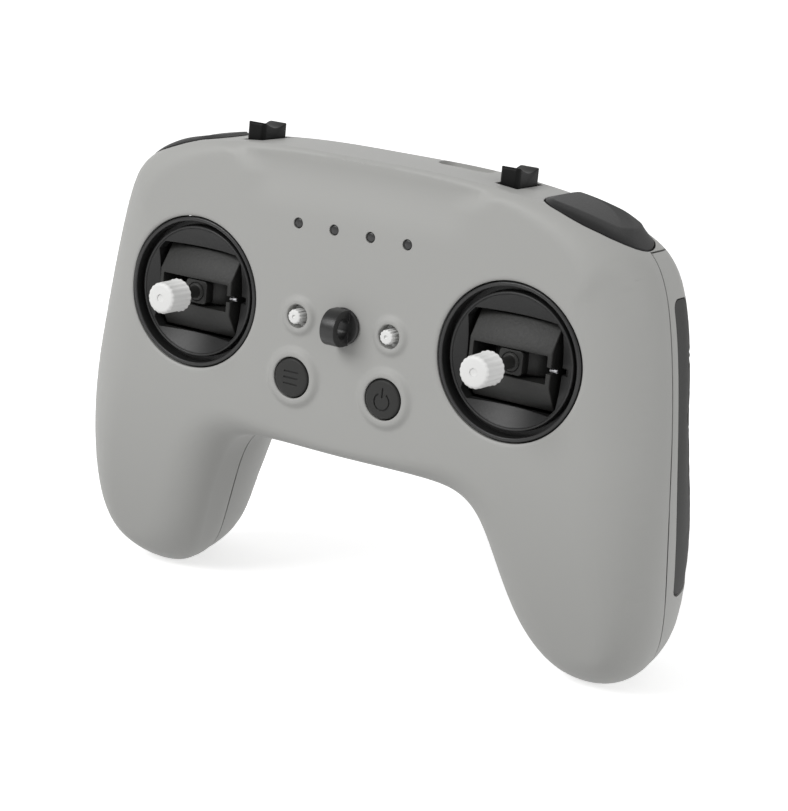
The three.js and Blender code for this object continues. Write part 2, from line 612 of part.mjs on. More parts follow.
// ---- inside ----
function mainBoard() {
  return box(around(0, BOARD.halfX), [BOARD.front, BOARD.back], [BOARD.bottom, BOARD.top]);
}

function switchBoard() {
  const { halfX, front, back, bottom, top } = SWITCH_BOARD;
  return box(around(0, halfX), [front, back], [bottom, top]);
}

function onMainBoard({ x, z, halfX, halfZ, height }) {
  const front = BOARD.back + GAP;
  return box(around(x, halfX), [front, front + height], around(z, halfZ));
}

function buzzer() {
  const { x, z, radius, height } = BUZZER;
  const front = BOARD.back + GAP;
  return discY(x, z, [front, front + height], radius, radius, 28);
}

function antenna() {
  return box(ANTENNA.x, ANTENNA.y, ANTENNA.z);
}

function batteryPack() {
  const { y, z, halfX, halfY, halfZ, corner } = BATTERY;
  return prismX(roundedRectangle(y, z, halfY, halfZ, corner), around(0, halfX));
}

// ---- the assembly ----
const assembly = new THREE.Group();
assembly.name = 'radio_transmitter_controller';

function place(name, shape, look) {
  const geometry = toGeometry(shape);
  geometry.translate(0, -DEPTH, 0);
  const mesh = new THREE.Mesh(geometry, MATERIALS[look]);
  mesh.name = name;
  assembly.add(mesh);
}

place('front_shell', frontShell(), 'shell');
place('back_shell', backShell(), 'shell');
place('battery_door', batteryDoor(), 'shell');
for (const [side, name] of sides) {
  const x = side * GIMBAL.x;
  place(`grip_pad_${name}`, grip(side), 'rubber');
  place(`gimbal_bezel_${name}`, gimbalBezel(x), 'black');
  place(`gimbal_housing_${name}`, gimbalHousing(x), 'black');
  place(`gimbal_drum_${name}`, gimbalDrum(x), 'black');
  place(`gimbal_pin_${name}`, retainingPin(x), 'steel');
  place(`stick_${name}`, stick(x, name), 'button');
  place(`stick_end_${name}`, stickEnd(x, name), 'white');
  place(`gimbal_board_${name}`, gimbalBoard(x), 'board');
  place(`aux_button_${name}`,
    faceButton(side * AUX_BUTTON.x, AUX_BUTTON.z, AUX_BUTTON.radius, AUX_BUTTON.front), 'white');
  place(`aux_switch_${name}`, tactSwitch(side * AUX_BUTTON.x, AUX_BUTTON.z), 'chip');
  place(`rocker_${name}`, rocker(side), 'black');
  place(`rocker_housing_${name}`, rockerHousing(side), 'chip');
  place(`shoulder_button_${name}`, shoulderButton(side), 'button');
  place(`shoulder_switch_${name}`, shoulderSwitch(side), 'chip');
}
[['mode', -1], ['power', 1]].forEach(([name, side]) => {
  place(`${name}_button`,
    faceButton(side * FACE_BUTTON.x, FACE_BUTTON.z, FACE_BUTTON.radius, FACE_BUTTON.front), 'button');
  place(`${name}_switch`, tactSwitch(side * FACE_BUTTON.x, FACE_BUTTON.z), 'chip');
});
screwPlaces.forEach((at, i) => place(`shell_screw_${i + 1}`, screw(at), 'steel'));
place('light_pipe', lightPipe(), 'smoke');
place('lanyard_hook', lanyardHook(), 'black');
place('hook_nut', hookNut(), 'steel');
place('usb_port', usbPort(), 'steel');
place('main_board', mainBoard(), 'board');
place('switch_board', switchBoard(), 'board');
place('radio_module', onMainBoard(RADIO), 'steel');
place('processor', onMainBoard(PROCESSOR), 'chip');
place('buzzer', buzzer(), 'chip');
place('antenna', antenna(), 'board');
place('battery_pack', batteryPack(), 'battery');

export default assembly;
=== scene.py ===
"""Looks of a handheld radio transmitter controller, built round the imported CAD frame.

Pieces are built in millimetres with Y = 0 at the gimbal rims, as the CAD is, and are moved into the
frame (metres, Y = 0 at the back panel) when they are finished.
"""
import math
from types import SimpleNamespace as Sizes

import bmesh
import bpy
import numpy as np
from mathutils import Matrix, Vector
from mathutils.bvhtree import BVHTree
from mathutils.geometry import delaunay_2d_cdt


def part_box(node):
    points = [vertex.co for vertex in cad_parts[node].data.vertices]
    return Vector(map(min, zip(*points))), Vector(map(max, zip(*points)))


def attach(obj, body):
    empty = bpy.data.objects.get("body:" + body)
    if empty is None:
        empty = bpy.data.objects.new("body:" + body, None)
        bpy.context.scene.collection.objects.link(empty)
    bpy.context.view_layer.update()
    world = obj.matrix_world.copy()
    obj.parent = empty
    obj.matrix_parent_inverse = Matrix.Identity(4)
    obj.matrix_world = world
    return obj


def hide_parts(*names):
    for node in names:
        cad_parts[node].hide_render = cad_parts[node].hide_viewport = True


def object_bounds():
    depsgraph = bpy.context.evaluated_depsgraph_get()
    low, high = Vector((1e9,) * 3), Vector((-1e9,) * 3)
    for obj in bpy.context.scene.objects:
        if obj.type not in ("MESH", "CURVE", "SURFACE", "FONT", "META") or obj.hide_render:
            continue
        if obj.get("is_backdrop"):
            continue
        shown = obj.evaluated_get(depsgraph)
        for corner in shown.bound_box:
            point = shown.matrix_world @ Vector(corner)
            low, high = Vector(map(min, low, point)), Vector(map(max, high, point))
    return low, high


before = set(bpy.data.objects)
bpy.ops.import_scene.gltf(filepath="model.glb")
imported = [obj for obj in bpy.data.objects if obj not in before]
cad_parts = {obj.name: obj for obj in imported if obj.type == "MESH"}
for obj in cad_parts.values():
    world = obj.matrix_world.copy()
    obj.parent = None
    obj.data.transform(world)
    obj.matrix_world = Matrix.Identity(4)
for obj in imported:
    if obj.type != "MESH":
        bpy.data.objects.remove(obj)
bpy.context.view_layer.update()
MM = 0.001
SIDES = (("left", -1), ("right", 1))
GAP = 0.3
WALL = 2.4
BIG = 200  # larger than the object, for cutting


# ---- sizes taken from the frame ----

# how far the gimbal rims stand in front of the back panel; the bezels' fronts lie just behind the rims
BEZEL_FRONT = 0.1
DEPTH = round(BEZEL_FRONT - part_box("gimbal_bezel_right")[0].y / MM, 2)


def spot(node):
    """Centre and size of a CAD node in millimetres, with Y measured from the gimbal rims."""
    low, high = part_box(node)
    centre = (low + high) / 2 / MM
    centre.y += DEPTH
    return centre, (high - low) / MM


def span(node, axis):
    centre, size = spot(node)
    return centre[axis] - size[axis] / 2, centre[axis] + size[axis] / 2


GIMBAL_X = spot("gimbal_bezel_right")[0].x
RIM_RADIUS = spot("gimbal_bezel_right")[1].x / 2
FACE_BUTTON = spot("power_button")[0]
FLANGE = Sizes(spread=1.2, front=2.6, back=3.6, stem=1.2, stem_end=5.6)
FACE_BUTTON_RADIUS = spot("power_button")[1].x / 2 - FLANGE.spread
AUX_BUTTON = spot("aux_button_right")[0]
AUX_BUTTON_RADIUS = spot("aux_button_right")[1].x / 2 - FLANGE.spread
AUX_HOLE = AUX_BUTTON_RADIUS + 0.75
LED_Z = spot("light_pipe")[0].z
LED_COUNT = 4
LED_OVERHANG = 2
LED_PITCH = (spot("light_pipe")[1].x - 2 * LED_OVERHANG) / (LED_COUNT - 1)
LED_RADIUS = 1.15
GRIP_BOTTOM, GRIP_TOP = span("grip_pad_right", 2)
ROCKER_X = spot("rocker_right")[0].x
ROCKER_PIVOT_REACH = 1.6
ROCKER_HALF = spot("rocker_right")[1].x / 2 - ROCKER_PIVOT_REACH
USB = spot("usb_port")[0]

# the face's plane, and the line where the shells meet, which steps backwards along the top edge
FACE = -0.2
PARTING = 15.5
TOP_PARTING = 24
TOP_PARTING_HEIGHT = 27

# the handles curve backwards and get thicker towards their tips
SAG_START, SAG_LENGTH, SAG_DEPTH = -18, 50, 11.5
GROWTH_Z, GROWTH_LENGTH_Z, GROWTH_X, GROWTH_LENGTH_X, GROWTH_DEPTH = -5, 45, 22, 20, 11.5

# half outline from the top centre round to the bottom centre, as spline control points:
# x, z, then the front edge's depth and inset, then the back edge's depth and inset
OUTLINE = np.array([
    (0, 38.4, 1.4, 1.1, 9, 8),
    (20, 38.5, 1.4, 1.1, 9, 8),
    (36, 37.2, 2.2, 2.4, 8.5, 8),
    (50.5, 35.3, 4.8, 5, 9, 8),
    (63.5, 30.4, 10.5, 9, 8.5, 6.5),
    (73, 22.7, 18.5, 19, 4, 3),
    (78.5, -16.6, 18.5, 19, 8, 3.5),
    (79, -44.6, 14.5, 13, 12.5, 9),
    (77, -73, 9.5, 6, 18, 13),
    (55, -78.5, 9.5, 11.5, 18, 12),
    (44.5, -63.3, 4.8, 10, 20, 12),
    (36.5, -35.6, 8.5, 12, 8, 8.5),
    (26, -31.5, 5, 4.5, 9, 10),
    (0, -32, 2.8, 2.5, 9, 10),
])
THINNEST_EDGE = 0.4

# the hollow under the top edge: it is wider at the edge, and fades out downwards and to its sides
HOLLOW = Sizes(depth=1.35, half_width=27, flare=9, flare_z=32, flare_length=4.5, fade=8,
               crest_z=34, above=4.4, below=11, loss_above=0.45)
RIM_LIP = Sizes(width=0.9, drop=0.45)
FACE_COLLAR = {"top": 0.9, "width": 1.9, "height": 0.95}
AUX_COLLAR = {"top": 0.8, "width": 1.5, "height": 0.75}
RELIEF_LIMIT = 0.7 * PARTING  # the relief moves only what lies in front of this
BORDER_CLEARANCE = 0.5  # how far a sheet's loose points keep from its border


# ---- the body's form ----

def smoothstep(value, length):
    t = np.clip(value / length, 0, 1)
    return t * t * (3 - 2 * t)


def bend(points):
    """Bends straight body points (n by 3) backwards along the handles."""
    x, y, z = points.T
    sag = np.clip((SAG_START - z) / SAG_LENGTH, 0, None)
    grow = smoothstep(GROWTH_Z - z, GROWTH_LENGTH_Z) * smoothstep(np.abs(x) - GROWTH_X, GROWTH_LENGTH_X)
    behind = np.clip((y - PARTING) / (DEPTH - PARTING), 0, 1)
    return np.column_stack([x, y + SAG_DEPTH * sag ** 2 + GROWTH_DEPTH * grow * behind, z])


def outline_stations(count):
    """Evenly spaced points of the closed outline: their six columns, and their inward normals."""
    mirrored = OUTLINE[1:-1][::-1] * np.array([-1, 1, 1, 1, 1, 1])
    loop = np.vstack([OUTLINE, mirrored])
    at = np.arange(count) / count * len(loop)
    first = np.floor(at).astype(int)
    u = (at - first)[:, None]
    weights = [(1 - u) ** 3, 3 * u ** 3 - 6 * u ** 2 + 4, -3 * u ** 3 + 3 * u ** 2 + 3 * u + 1, u ** 3]
    table = sum(w / 6 * loop[(first + k - 1) % len(loop)] for k, w in enumerate(weights))
    tangent = np.roll(table[:, :2], -1, 0) - np.roll(table[:, :2], 1, 0)
    tangent /= np.linalg.norm(tangent, axis=1)[:, None]
    return table, np.column_stack([tangent[:, 1], -tangent[:, 0]])


def edge_size(table, shrink, front):
    """How deep and how wide the rounded edge is at each station."""
    if front:
        depth, spread = table[:, 2] - FACE, table[:, 3]
    else:
        depth, spread = np.minimum(table[:, 4], DEPTH - table[:, 2] - 1), table[:, 5]
    return np.maximum(depth - shrink, THINNEST_EDGE), np.maximum(spread - shrink, THINNEST_EDGE)


def edge_ring(table, inward, angle, shrink, front):
    """One ring of the rounded edge: angle 90 degrees is on the flat, 0 is on the side."""
    depth, spread = edge_size(table, shrink, front)
    inset = shrink + spread * (1 - math.cos(angle))
    drop = shrink + depth * (1 - math.sin(angle))
    x = table[:, 0] + inward[:, 0] * inset
    z = table[:, 1] + inward[:, 1] * inset
    return np.column_stack([x, FACE + drop if front else DEPTH - drop, z])


def bump(distance, radius):
    """1 at distance 0, smoothly down to 0 at the radius."""
    return 1 - smoothstep(distance, radius)


def collar(distance, inner, top, width, height, round_off=0.35):
    """A raised ring round a hole: a flat top, a rounded inner lip, and an outside that slopes away."""
    beyond = distance - inner
    lip = np.clip(round_off - beyond, 0, round_off)
    rounding = round_off - np.sqrt(np.clip(round_off ** 2 - lip ** 2, 0, None))
    return height * bump(np.clip(beyond - top, 0, None), width) - rounding


def top_hollow(x, z):
    """The hollow in the middle under the top edge: deepest just under the edge, fading out downwards."""
    half_width = HOLLOW.half_width + HOLLOW.flare * np.clip((z - HOLLOW.flare_z) / HOLLOW.flare_length, 0, 1)
    across = bump(np.abs(x) - half_width + HOLLOW.fade / 2, HOLLOW.fade)
    above = 1 - HOLLOW.loss_above * smoothstep(z - HOLLOW.crest_z, HOLLOW.above)
    below = bump(HOLLOW.crest_z - z, HOLLOW.below)
    return HOLLOW.depth * across * np.where(z > HOLLOW.crest_z, above, below)


def front_relief(x, z):
    """How far the face stands forward of its plane at each point, in millimetres."""
    relief = -top_hollow(x, z)
    reach = RIM_RADIUS + GAP
    for side in (-1, 1):
        from_gimbal = np.hypot(x - side * GIMBAL_X, z)
        lip = np.clip(RIM_LIP.width - (from_gimbal - reach), 0, RIM_LIP.width)
        relief -= RIM_LIP.drop * (1 - np.sqrt(1 - (lip / RIM_LIP.width) ** 2))
        from_button = np.hypot(x - side * FACE_BUTTON.x, z - FACE_BUTTON.z)
        relief += collar(from_button, FACE_BUTTON_RADIUS + GAP, **FACE_COLLAR)
        from_aux = np.hypot(x - side * AUX_BUTTON.x, z - AUX_BUTTON.z)
        relief += collar(from_aux, AUX_HOLE, **AUX_COLLAR)
    return relief


def feature_circles():
    """(x, z, radii, points) of the circles that the face's mesh needs to follow its details."""
    gimbal = RIM_RADIUS + GAP + np.array([-0.9, -0.15, 0.12, 0.25, 0.45, 0.7, 1, 1.6, 2.6, 4])
    button = FACE_BUTTON_RADIUS + GAP + np.array([
        -0.6, -0.12, 0.08, 0.2, 0.4, 0.9, 1.3, 1.7, 2.1, 2.5, 2.9, 3.6])
    aux = AUX_HOLE + np.array([-0.6, -0.12, 0.08, 0.2, 0.4, 0.8, 1.1, 1.5, 1.9, 2.4, 3])
    circles = [(side * GIMBAL_X, 0, gimbal, 180) for side in (-1, 1)]
    circles += [(side * FACE_BUTTON.x, FACE_BUTTON.z, button, 72) for side in (-1, 1)]
    circles += [(side * AUX_BUTTON.x, AUX_BUTTON.z, aux, 48) for side in (-1, 1)]
    return circles


def nearest(points, targets, chunk=2000):
    """Each point's distance to its nearest target, and which target that is (both n by 2)."""
    distance = np.empty(len(points))
    which = np.empty(len(points), int)
    for start in range(0, len(points), chunk):
        part = slice(start, start + chunk)
        gaps = np.linalg.norm(points[part, None, :] - targets[None, :, :], axis=2)
        distance[part] = gaps.min(1)
        which[part] = gaps.argmin(1)
    return distance, which


def sheet_height(points, table, front, shrink):
    """Y of the flat sheet's points (n by 2, x and z), which curve down near the outline."""
    distance, which = nearest(points, table[:, :2])
    depth, spread = edge_size(table[which], shrink, front)
    cosine = np.clip(1 - (distance - shrink) / spread, 0, 1)
    drop = shrink + depth * (1 - np.sqrt(1 - cosine ** 2))
    return FACE + drop if front else DEPTH - drop


def inside(points, polygon):
    """Which points lie inside a closed polygon (both n by 2)."""
    a = polygon
    b = np.roll(polygon, -1, 0)
    result = np.zeros(len(points), bool)
    for (ax, az), (bx, bz) in zip(a, b):
        crosses = (az > points[:, 1]) != (bz > points[:, 1])
        at = ax + (points[:, 1] - az) / (bz - az if bz != az else 1) * (bx - ax)
        result ^= crosses & (points[:, 0] < at)
    return result


def face_grid(spacing):
    """Loose points over the whole face, every other row moved by half a step."""
    x, z = np.meshgrid(np.arange(-80, 80, spacing), np.arange(-80, 42, spacing))
    x = x + (np.arange(x.shape[0]) % 2)[:, None] * spacing / 2
    return np.column_stack([x.ravel(), z.ravel()])


def sheet_points(border, loose, free, detailed):
    """The loose points inside the border of a sheet, with circles round the face's details."""
    if detailed:
        for x, z, radii, count in feature_circles():
            free = free[np.hypot(free[:, 0] - x, free[:, 1] - z) > radii.max()]
            turn = np.arange(count) / count * 2 * math.pi
            loose += [np.column_stack([x + r * np.cos(turn), z + r * np.sin(turn)]) for r in radii]
    candidates = np.vstack(loose + [free])
    candidates = candidates[inside(candidates, border)]
    return candidates[nearest(candidates, border)[0] > BORDER_CLEARANCE]


def body_mesh(name, shrink=0.0, stations=420, spacing=1.7, detailed=True):
    """The whole body, straight, as one closed mesh; detailed gives it the relief of the face."""
    table, inward = outline_stations(stations)
    dense, _ = outline_stations(1600)
    # the steep part of the rounded edge is made of rings, and the gentle part belongs to the flat sheets
    steep = np.radians([24, 18, 12, 6, 0])
    gentle = np.radians([32, 41, 51, 62, 74, 90])
    rings = [edge_ring(table, inward, angle, shrink, True) for angle in steep]
    rings += [edge_ring(table, inward, angle, shrink, False) for angle in steep[::-1]]
    vertices = [tuple(point) for ring in rings for point in ring]
    faces = []
    for r in range(len(rings) - 1):
        for i in range(stations):
            j = (i + 1) % stations
            faces.append((r * stations + i, r * stations + j, (r + 1) * stations + j, (r + 1) * stations + i))

    for front, ring_index in ((True, 0), (False, len(rings) - 1)):
        border = rings[ring_index][:, [0, 2]]
        loose = [edge_ring(table, inward, angle, shrink, front)[:, [0, 2]] for angle in gentle]
        points = np.vstack([border, sheet_points(border, loose, face_grid(spacing), front and detailed)])
        edges = [(i, (i + 1) % stations) for i in range(stations)]
        found, _, triangles, origin, _, _ = delaunay_2d_cdt(
            [Vector(point) for point in points], edges, [], 1, 1e-5)
        flat = np.array([tuple(point) for point in found])
        height = sheet_height(flat, dense, front, shrink)
        index = {}
        for k, sources in enumerate(origin):
            on_border = [source for source in sources if source < stations]
            if on_border:
                index[k] = ring_index * stations + on_border[0]
            else:
                index[k] = len(vertices)
                vertices.append((flat[k, 0], height[k], flat[k, 1]))
        for triangle in triangles:
            ordered = triangle if front else triangle[::-1]
            faces.append(tuple(index[k] for k in ordered))
    vertices = np.array(vertices)
    if detailed:
        ahead = vertices[:, 1] < RELIEF_LIMIT
        vertices[ahead, 1] -= front_relief(vertices[ahead, 0], vertices[ahead, 2])
    return new_object(name, vertices, faces)


# ---- mesh helpers, all in millimetres ----

def new_object(name, vertices, faces):
    mesh = bpy.data.meshes.new(name)
    mesh.from_pydata([tuple(v) for v in vertices], [], faces)
    mesh.validate()
    obj = bpy.data.objects.new(name, mesh)
    bpy.context.scene.collection.objects.link(obj)
    return obj


def remove(obj):
    mesh = obj.data
    bpy.data.objects.remove(obj)
    bpy.data.meshes.remove(mesh)


def bake(obj):
    """Replaces an object's mesh with its evaluated mesh, so that no modifier is left."""
    graph = bpy.context.evaluated_depsgraph_get()
    mesh = bpy.data.meshes.new_from_object(obj.evaluated_get(graph))
    old = obj.data
    obj.modifiers.clear()
    obj.data = mesh
    bpy.data.meshes.remove(old)
    return obj


def face_outwards(obj):
    """Turns every face of a closed mesh outwards, which a boolean needs."""
    work = bmesh.new()
    work.from_mesh(obj.data)
    bmesh.ops.recalc_face_normals(work, faces=work.faces)
    work.to_mesh(obj.data)
    work.free()
    return obj


def combine(obj, tool, operation="DIFFERENCE", keep=False):
    modifier = obj.modifiers.new("combine", "BOOLEAN")
    modifier.object = tool
    modifier.operation = operation
    modifier.solver = "MANIFOLD"
    bake(obj)
    if not keep:
        remove(tool)
    return obj


def cut(obj, *tools):
    for tool in tools:
        combine(obj, tool)
    return obj


def join(obj, *others):
    for other in others:
        combine(obj, other, "UNION")
    return obj


def bevel(obj, width, segments, angle=35):
    modifier = obj.modifiers.new("bevel", "BEVEL")
    modifier.width = width
    modifier.segments = segments
    modifier.limit_method = "ANGLE"
    modifier.angle_limit = math.radians(angle)
    modifier.harden_normals = False
    return bake(obj)


def block(x, y, z):
    """A box between three (low, high) pairs."""
    corners = [(a, b, c) for a in x for b in y for c in z]
    faces = [(0, 1, 3, 2), (4, 6, 7, 5), (0, 4, 5, 1), (2, 3, 7, 6), (0, 2, 6, 4), (1, 5, 7, 3)]
    return new_object("tool", corners, faces)


def around(centre, half):
    return centre - half, centre + half


def prism(points, axis, limits):
    """A closed outline of (a, b) points, extruded along axis 0, 1 or 2 between two limits."""
    others = [k for k in range(3) if k != axis]
    area = sum(a[0] * b[1] - b[0] * a[1] for a, b in zip(points, points[1:] + points[:1]))
    if (area > 0) == (axis == 1):
        points = points[::-1]
    vertices = []
    for limit in limits:
        for point in points:
            vertex = [0.0, 0.0, 0.0]
            vertex[axis] = limit
            vertex[others[0]], vertex[others[1]] = point
            vertices.append(tuple(vertex))
    n = len(points)
    faces = [tuple(range(n))[::-1], tuple(range(n, 2 * n))]
    faces += [(i, (i + 1) % n, n + (i + 1) % n, n + i) for i in range(n)]
    return new_object("tool", vertices, faces)


def circle(a, b, radius, count):
    turn = [i / count * 2 * math.pi for i in range(count)]
    return [(a + radius * math.cos(t), b + radius * math.sin(t)) for t in turn]


def rod(axis, centre, radius, limits, count):
    return prism(circle(*centre, radius, count), axis, limits)


def rounded(a, b, half_a, half_b, corner, steps=8):
    """A rectangle with rounded corners, as a list of points."""
    points = []
    for k, (sa, sb) in enumerate(((1, 1), (-1, 1), (-1, -1), (1, -1))):
        for i in range(steps + 1):
            turn = (k + i / steps) * math.pi / 2
            points.append((a + sa * (half_a - corner) + corner * math.cos(turn),
                           b + sb * (half_b - corner) + corner * math.sin(turn)))
    return points


def turned(profile, x, z, count, name="tool"):
    """A profile of (radius, y) points turned about a Y axis; it starts and ends on the axis, or closes."""
    vertices = []
    rings = []
    for radius, y in profile:
        if radius < 1e-6:
            rings.append([len(vertices)])
            vertices.append((x, y, z))
        else:
            rings.append([len(vertices) + i for i in range(count)])
            turn = [i / count * 2 * math.pi for i in range(count)]
            vertices += [(x + radius * math.cos(t), y, z + radius * math.sin(t)) for t in turn]
    pairs = list(zip(rings, rings[1:]))
    if len(rings[0]) > 1:
        pairs.append((rings[-1], rings[0]))
    faces = []
    for one, two in pairs:
        for i in range(count):
            j = (i + 1) % count
            face = [one[i % len(one)], two[i % len(two)], two[j % len(two)], one[j % len(one)]]
            faces.append(tuple(dict.fromkeys(face)))
    return new_object(name, vertices, faces)


def arc(centre, radius, start, end, steps):
    """Points of an arc in a profile, from one angle to another in degrees."""
    turns = [math.radians(start + (end - start) * i / steps) for i in range(steps + 1)]
    return [(centre[0] + radius * math.cos(t), centre[1] + radius * math.sin(t)) for t in turns]


def settle(obj, body, slot, material, *nodes, name=None, straight=False, sharp=38):
    """Finishes a piece: bends it if asked, moves it into the frame, names it if asked and hides the CAD parts
    that it replaces.
    """
    mesh = obj.data
    points = np.empty(len(mesh.vertices) * 3)
    mesh.vertices.foreach_get("co", points)
    points = points.reshape(-1, 3)
    if straight:
        points = bend(points)
    points[:, 1] -= DEPTH
    mesh.vertices.foreach_set("co", (points * MM).ravel())
    work = bmesh.new()
    work.from_mesh(mesh)
    bmesh.ops.remove_doubles(work, verts=work.verts, dist=0.002 * MM)
    bmesh.ops.recalc_face_normals(work, faces=work.faces)
    for edge in work.edges:
        edge.smooth = len(edge.link_faces) == 2 and edge.calc_face_angle(0) < math.radians(sharp)
    for polygon in work.faces:
        polygon.smooth = True
    work.to_mesh(mesh)
    work.free()
    mesh.update()
    mesh.materials.clear()
    mesh.materials.append(material)
    if name:
        obj.name = name
    if nodes:
        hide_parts(*nodes)
    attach(obj, body)
    return obj


# ---- materials ----

ROUGHNESS_RANGE = 0.06
SOFT_EDGE = 0.25


def node_material(name, colour, roughness, grain, depth, metallic=0.0, variation=0.03, specular=0.5):
    """Moulded plastic, rubber or metal: a base colour with slight variation, fine grain, soft edges."""
    material = bpy.data.materials.new(name)
    material.use_nodes = True
    nodes = material.node_tree.nodes
    links = material.node_tree.links
    shader = nodes["Principled BSDF"]
    shader.inputs["Metallic"].default_value = metallic
    shader.inputs["Specular IOR Level"].default_value = specular
    place = nodes.new("ShaderNodeTexCoord")

    clouds = nodes.new("ShaderNodeTexNoise")
    clouds.inputs["Scale"].default_value = 45
    clouds.inputs["Detail"].default_value = 4
    links.new(place.outputs["Object"], clouds.inputs["Vector"])
    tint = nodes.new("ShaderNodeMixRGB")
    tint.inputs["Color1"].default_value = (*[c * (1 - variation) for c in colour], 1)
    tint.inputs["Color2"].default_value = (*[min(c * (1 + variation), 1) for c in colour], 1)
    links.new(clouds.outputs["Fac"], tint.inputs["Fac"])
    links.new(tint.outputs["Color"], shader.inputs["Base Color"])

    speckle = nodes.new("ShaderNodeTexNoise")
    speckle.inputs["Scale"].default_value = grain
    speckle.inputs["Detail"].default_value = 3
    speckle.inputs["Roughness"].default_value = 0.6
    links.new(place.outputs["Object"], speckle.inputs["Vector"])
    rough = nodes.new("ShaderNodeMapRange")
    rough.inputs["To Min"].default_value = roughness - ROUGHNESS_RANGE
    rough.inputs["To Max"].default_value = roughness + ROUGHNESS_RANGE
    links.new(speckle.outputs["Fac"], rough.inputs["Value"])
    links.new(rough.outputs["Result"], shader.inputs["Roughness"])

    soft = nodes.new("ShaderNodeBevel")
    soft.samples = 4
    soft.inputs["Radius"].default_value = SOFT_EDGE * MM
    relief = nodes.new("ShaderNodeBump")
    relief.inputs["Strength"].default_value = 0.6
    relief.inputs["Distance"].default_value = depth * MM
    links.new(speckle.outputs["Fac"], relief.inputs["Height"])
    links.new(soft.outputs["Normal"], relief.inputs["Normal"])
    links.new(relief.outputs["Normal"], shader.inputs["Normal"])
    return material


SHELL = node_material("shell_plastic", (0.385, 0.385, 0.372), 0.52, 2600, 0.02,
                      variation=0.012, specular=0.35)
BLACK = node_material("black_plastic", (0.018, 0.018, 0.018), 0.36, 2200, 0.03, specular=0.4)
BOWL = node_material("bowl_plastic", (0.018, 0.018, 0.018), 0.42, 2600, 0.05, specular=0.35)
DRUM = node_material("drum_plastic", (0.024, 0.024, 0.023), 0.5, 1500, 0.10, specular=0.3)
FOOT = node_material("foot_plastic", (0.022, 0.022, 0.021), 0.45, 2400, 0.04, specular=0.3)
DARK = node_material("dark_plastic", (0.029, 0.029, 0.028), 0.5, 2400, 0.03, specular=0.22)
CAP = node_material("shoulder_plastic", (0.019, 0.019, 0.019), 0.5, 2400, 0.03, specular=0.16)
LEVER = node_material("lever_plastic", (0.007, 0.007, 0.007), 0.45, 2400, 0.03, specular=0.12)
RUBBER = node_material("grip_rubber", (0.058, 0.058, 0.057), 0.8, 1500, 0.08, specular=0.25)
WHITE = node_material("white_plastic", (0.78, 0.78, 0.77), 0.5, 2400, 0.015, variation=0.01)
SMOKE = node_material("smoke_plastic", (0.020, 0.020, 0.020), 0.3, 3000, 0.01)
STEEL = node_material("plated_steel", (0.55, 0.56, 0.57), 0.28, 3000, 0.01, metallic=1.0)
PIN = node_material("pin_steel", (0.30, 0.30, 0.31), 0.4, 3000, 0.01, metallic=1.0)
BOARD = node_material("circuit_board", (0.012, 0.09, 0.04), 0.45, 2000, 0.02)
CHIP = node_material("component_plastic", (0.02, 0.02, 0.022), 0.5, 2000, 0.02)
WRAP = node_material("battery_wrap", (0.05, 0.16, 0.40), 0.4, 800, 0.03)


# ---- shells, door and grips ----

# corners of a shoulder button's outline and of its flat top, seen from above
SHOULDER_EDGE = [(43.8, 3.7), (53, 3.3), (60, 5.8), (64.6, 9.6), (66.4, 13.8),
                 (66, 19.2), (63.5, 22.2), (46, 22.2), (43.8, 20.4)]
SHOULDER_FLAT = [(45.4, 5.4), (50, 6.3), (54, 7.7), (58.2, 9.4), (61.2, 12.2),
                 (62.6, 16.6), (62.2, 20.3), (60.6, 21.4), (46.2, 21.4), (45, 20)]
SHOULDER_CENTRE = (55, 11.7)
SHOULDER = Sizes(clearance=0.4, floor=20, proud=1.35, rim=0.15, thickness=2, level_y=19,
                 stem=2, stem_x=55, stem_y=12, stem_z=(30, 33))
DISH_END = Sizes(x=47.5, y=7.5, radius=16.6, depth=0.5, slope=3)


def shoulder_outline(side, swell=0.0):
    centre_x, centre_y = SHOULDER_CENTRE
    result = []
    for x, y in SHOULDER_EDGE:
        dx, dy = x - centre_x, y - centre_y
        scale = 1 + swell / math.hypot(dx, dy)
        result.append((side * (centre_x + dx * scale), centre_y + dy * scale))
    return result


def soft_outline(points, rounds=3):
    """Rounds the corners of a closed outline by repeated corner cutting."""
    for _ in range(rounds):
        cutting = []
        for a, b in zip(points, points[1:] + points[:1]):
            cutting.append((0.75 * a[0] + 0.25 * b[0], 0.75 * a[1] + 0.25 * b[1]))
            cutting.append((0.25 * a[0] + 0.75 * b[0], 0.25 * a[1] + 0.75 * b[1]))
        points = cutting
    return points


def resampled(points, step):
    """A closed outline with points at even steps, no further apart than asked."""
    result = []
    for a, b in zip(points, points[1:] + points[:1]):
        count = max(1, math.ceil(math.dist(a, b) / step))
        result += [(a[0] + (b[0] - a[0]) * i / count, a[1] + (b[1] - a[1]) * i / count) for i in range(count)]
    return result


def shoulder_opening(side):
    outline = soft_outline(shoulder_outline(side, SHOULDER.clearance))
    return prism(outline, 2, (SHOULDER.floor, BIG))


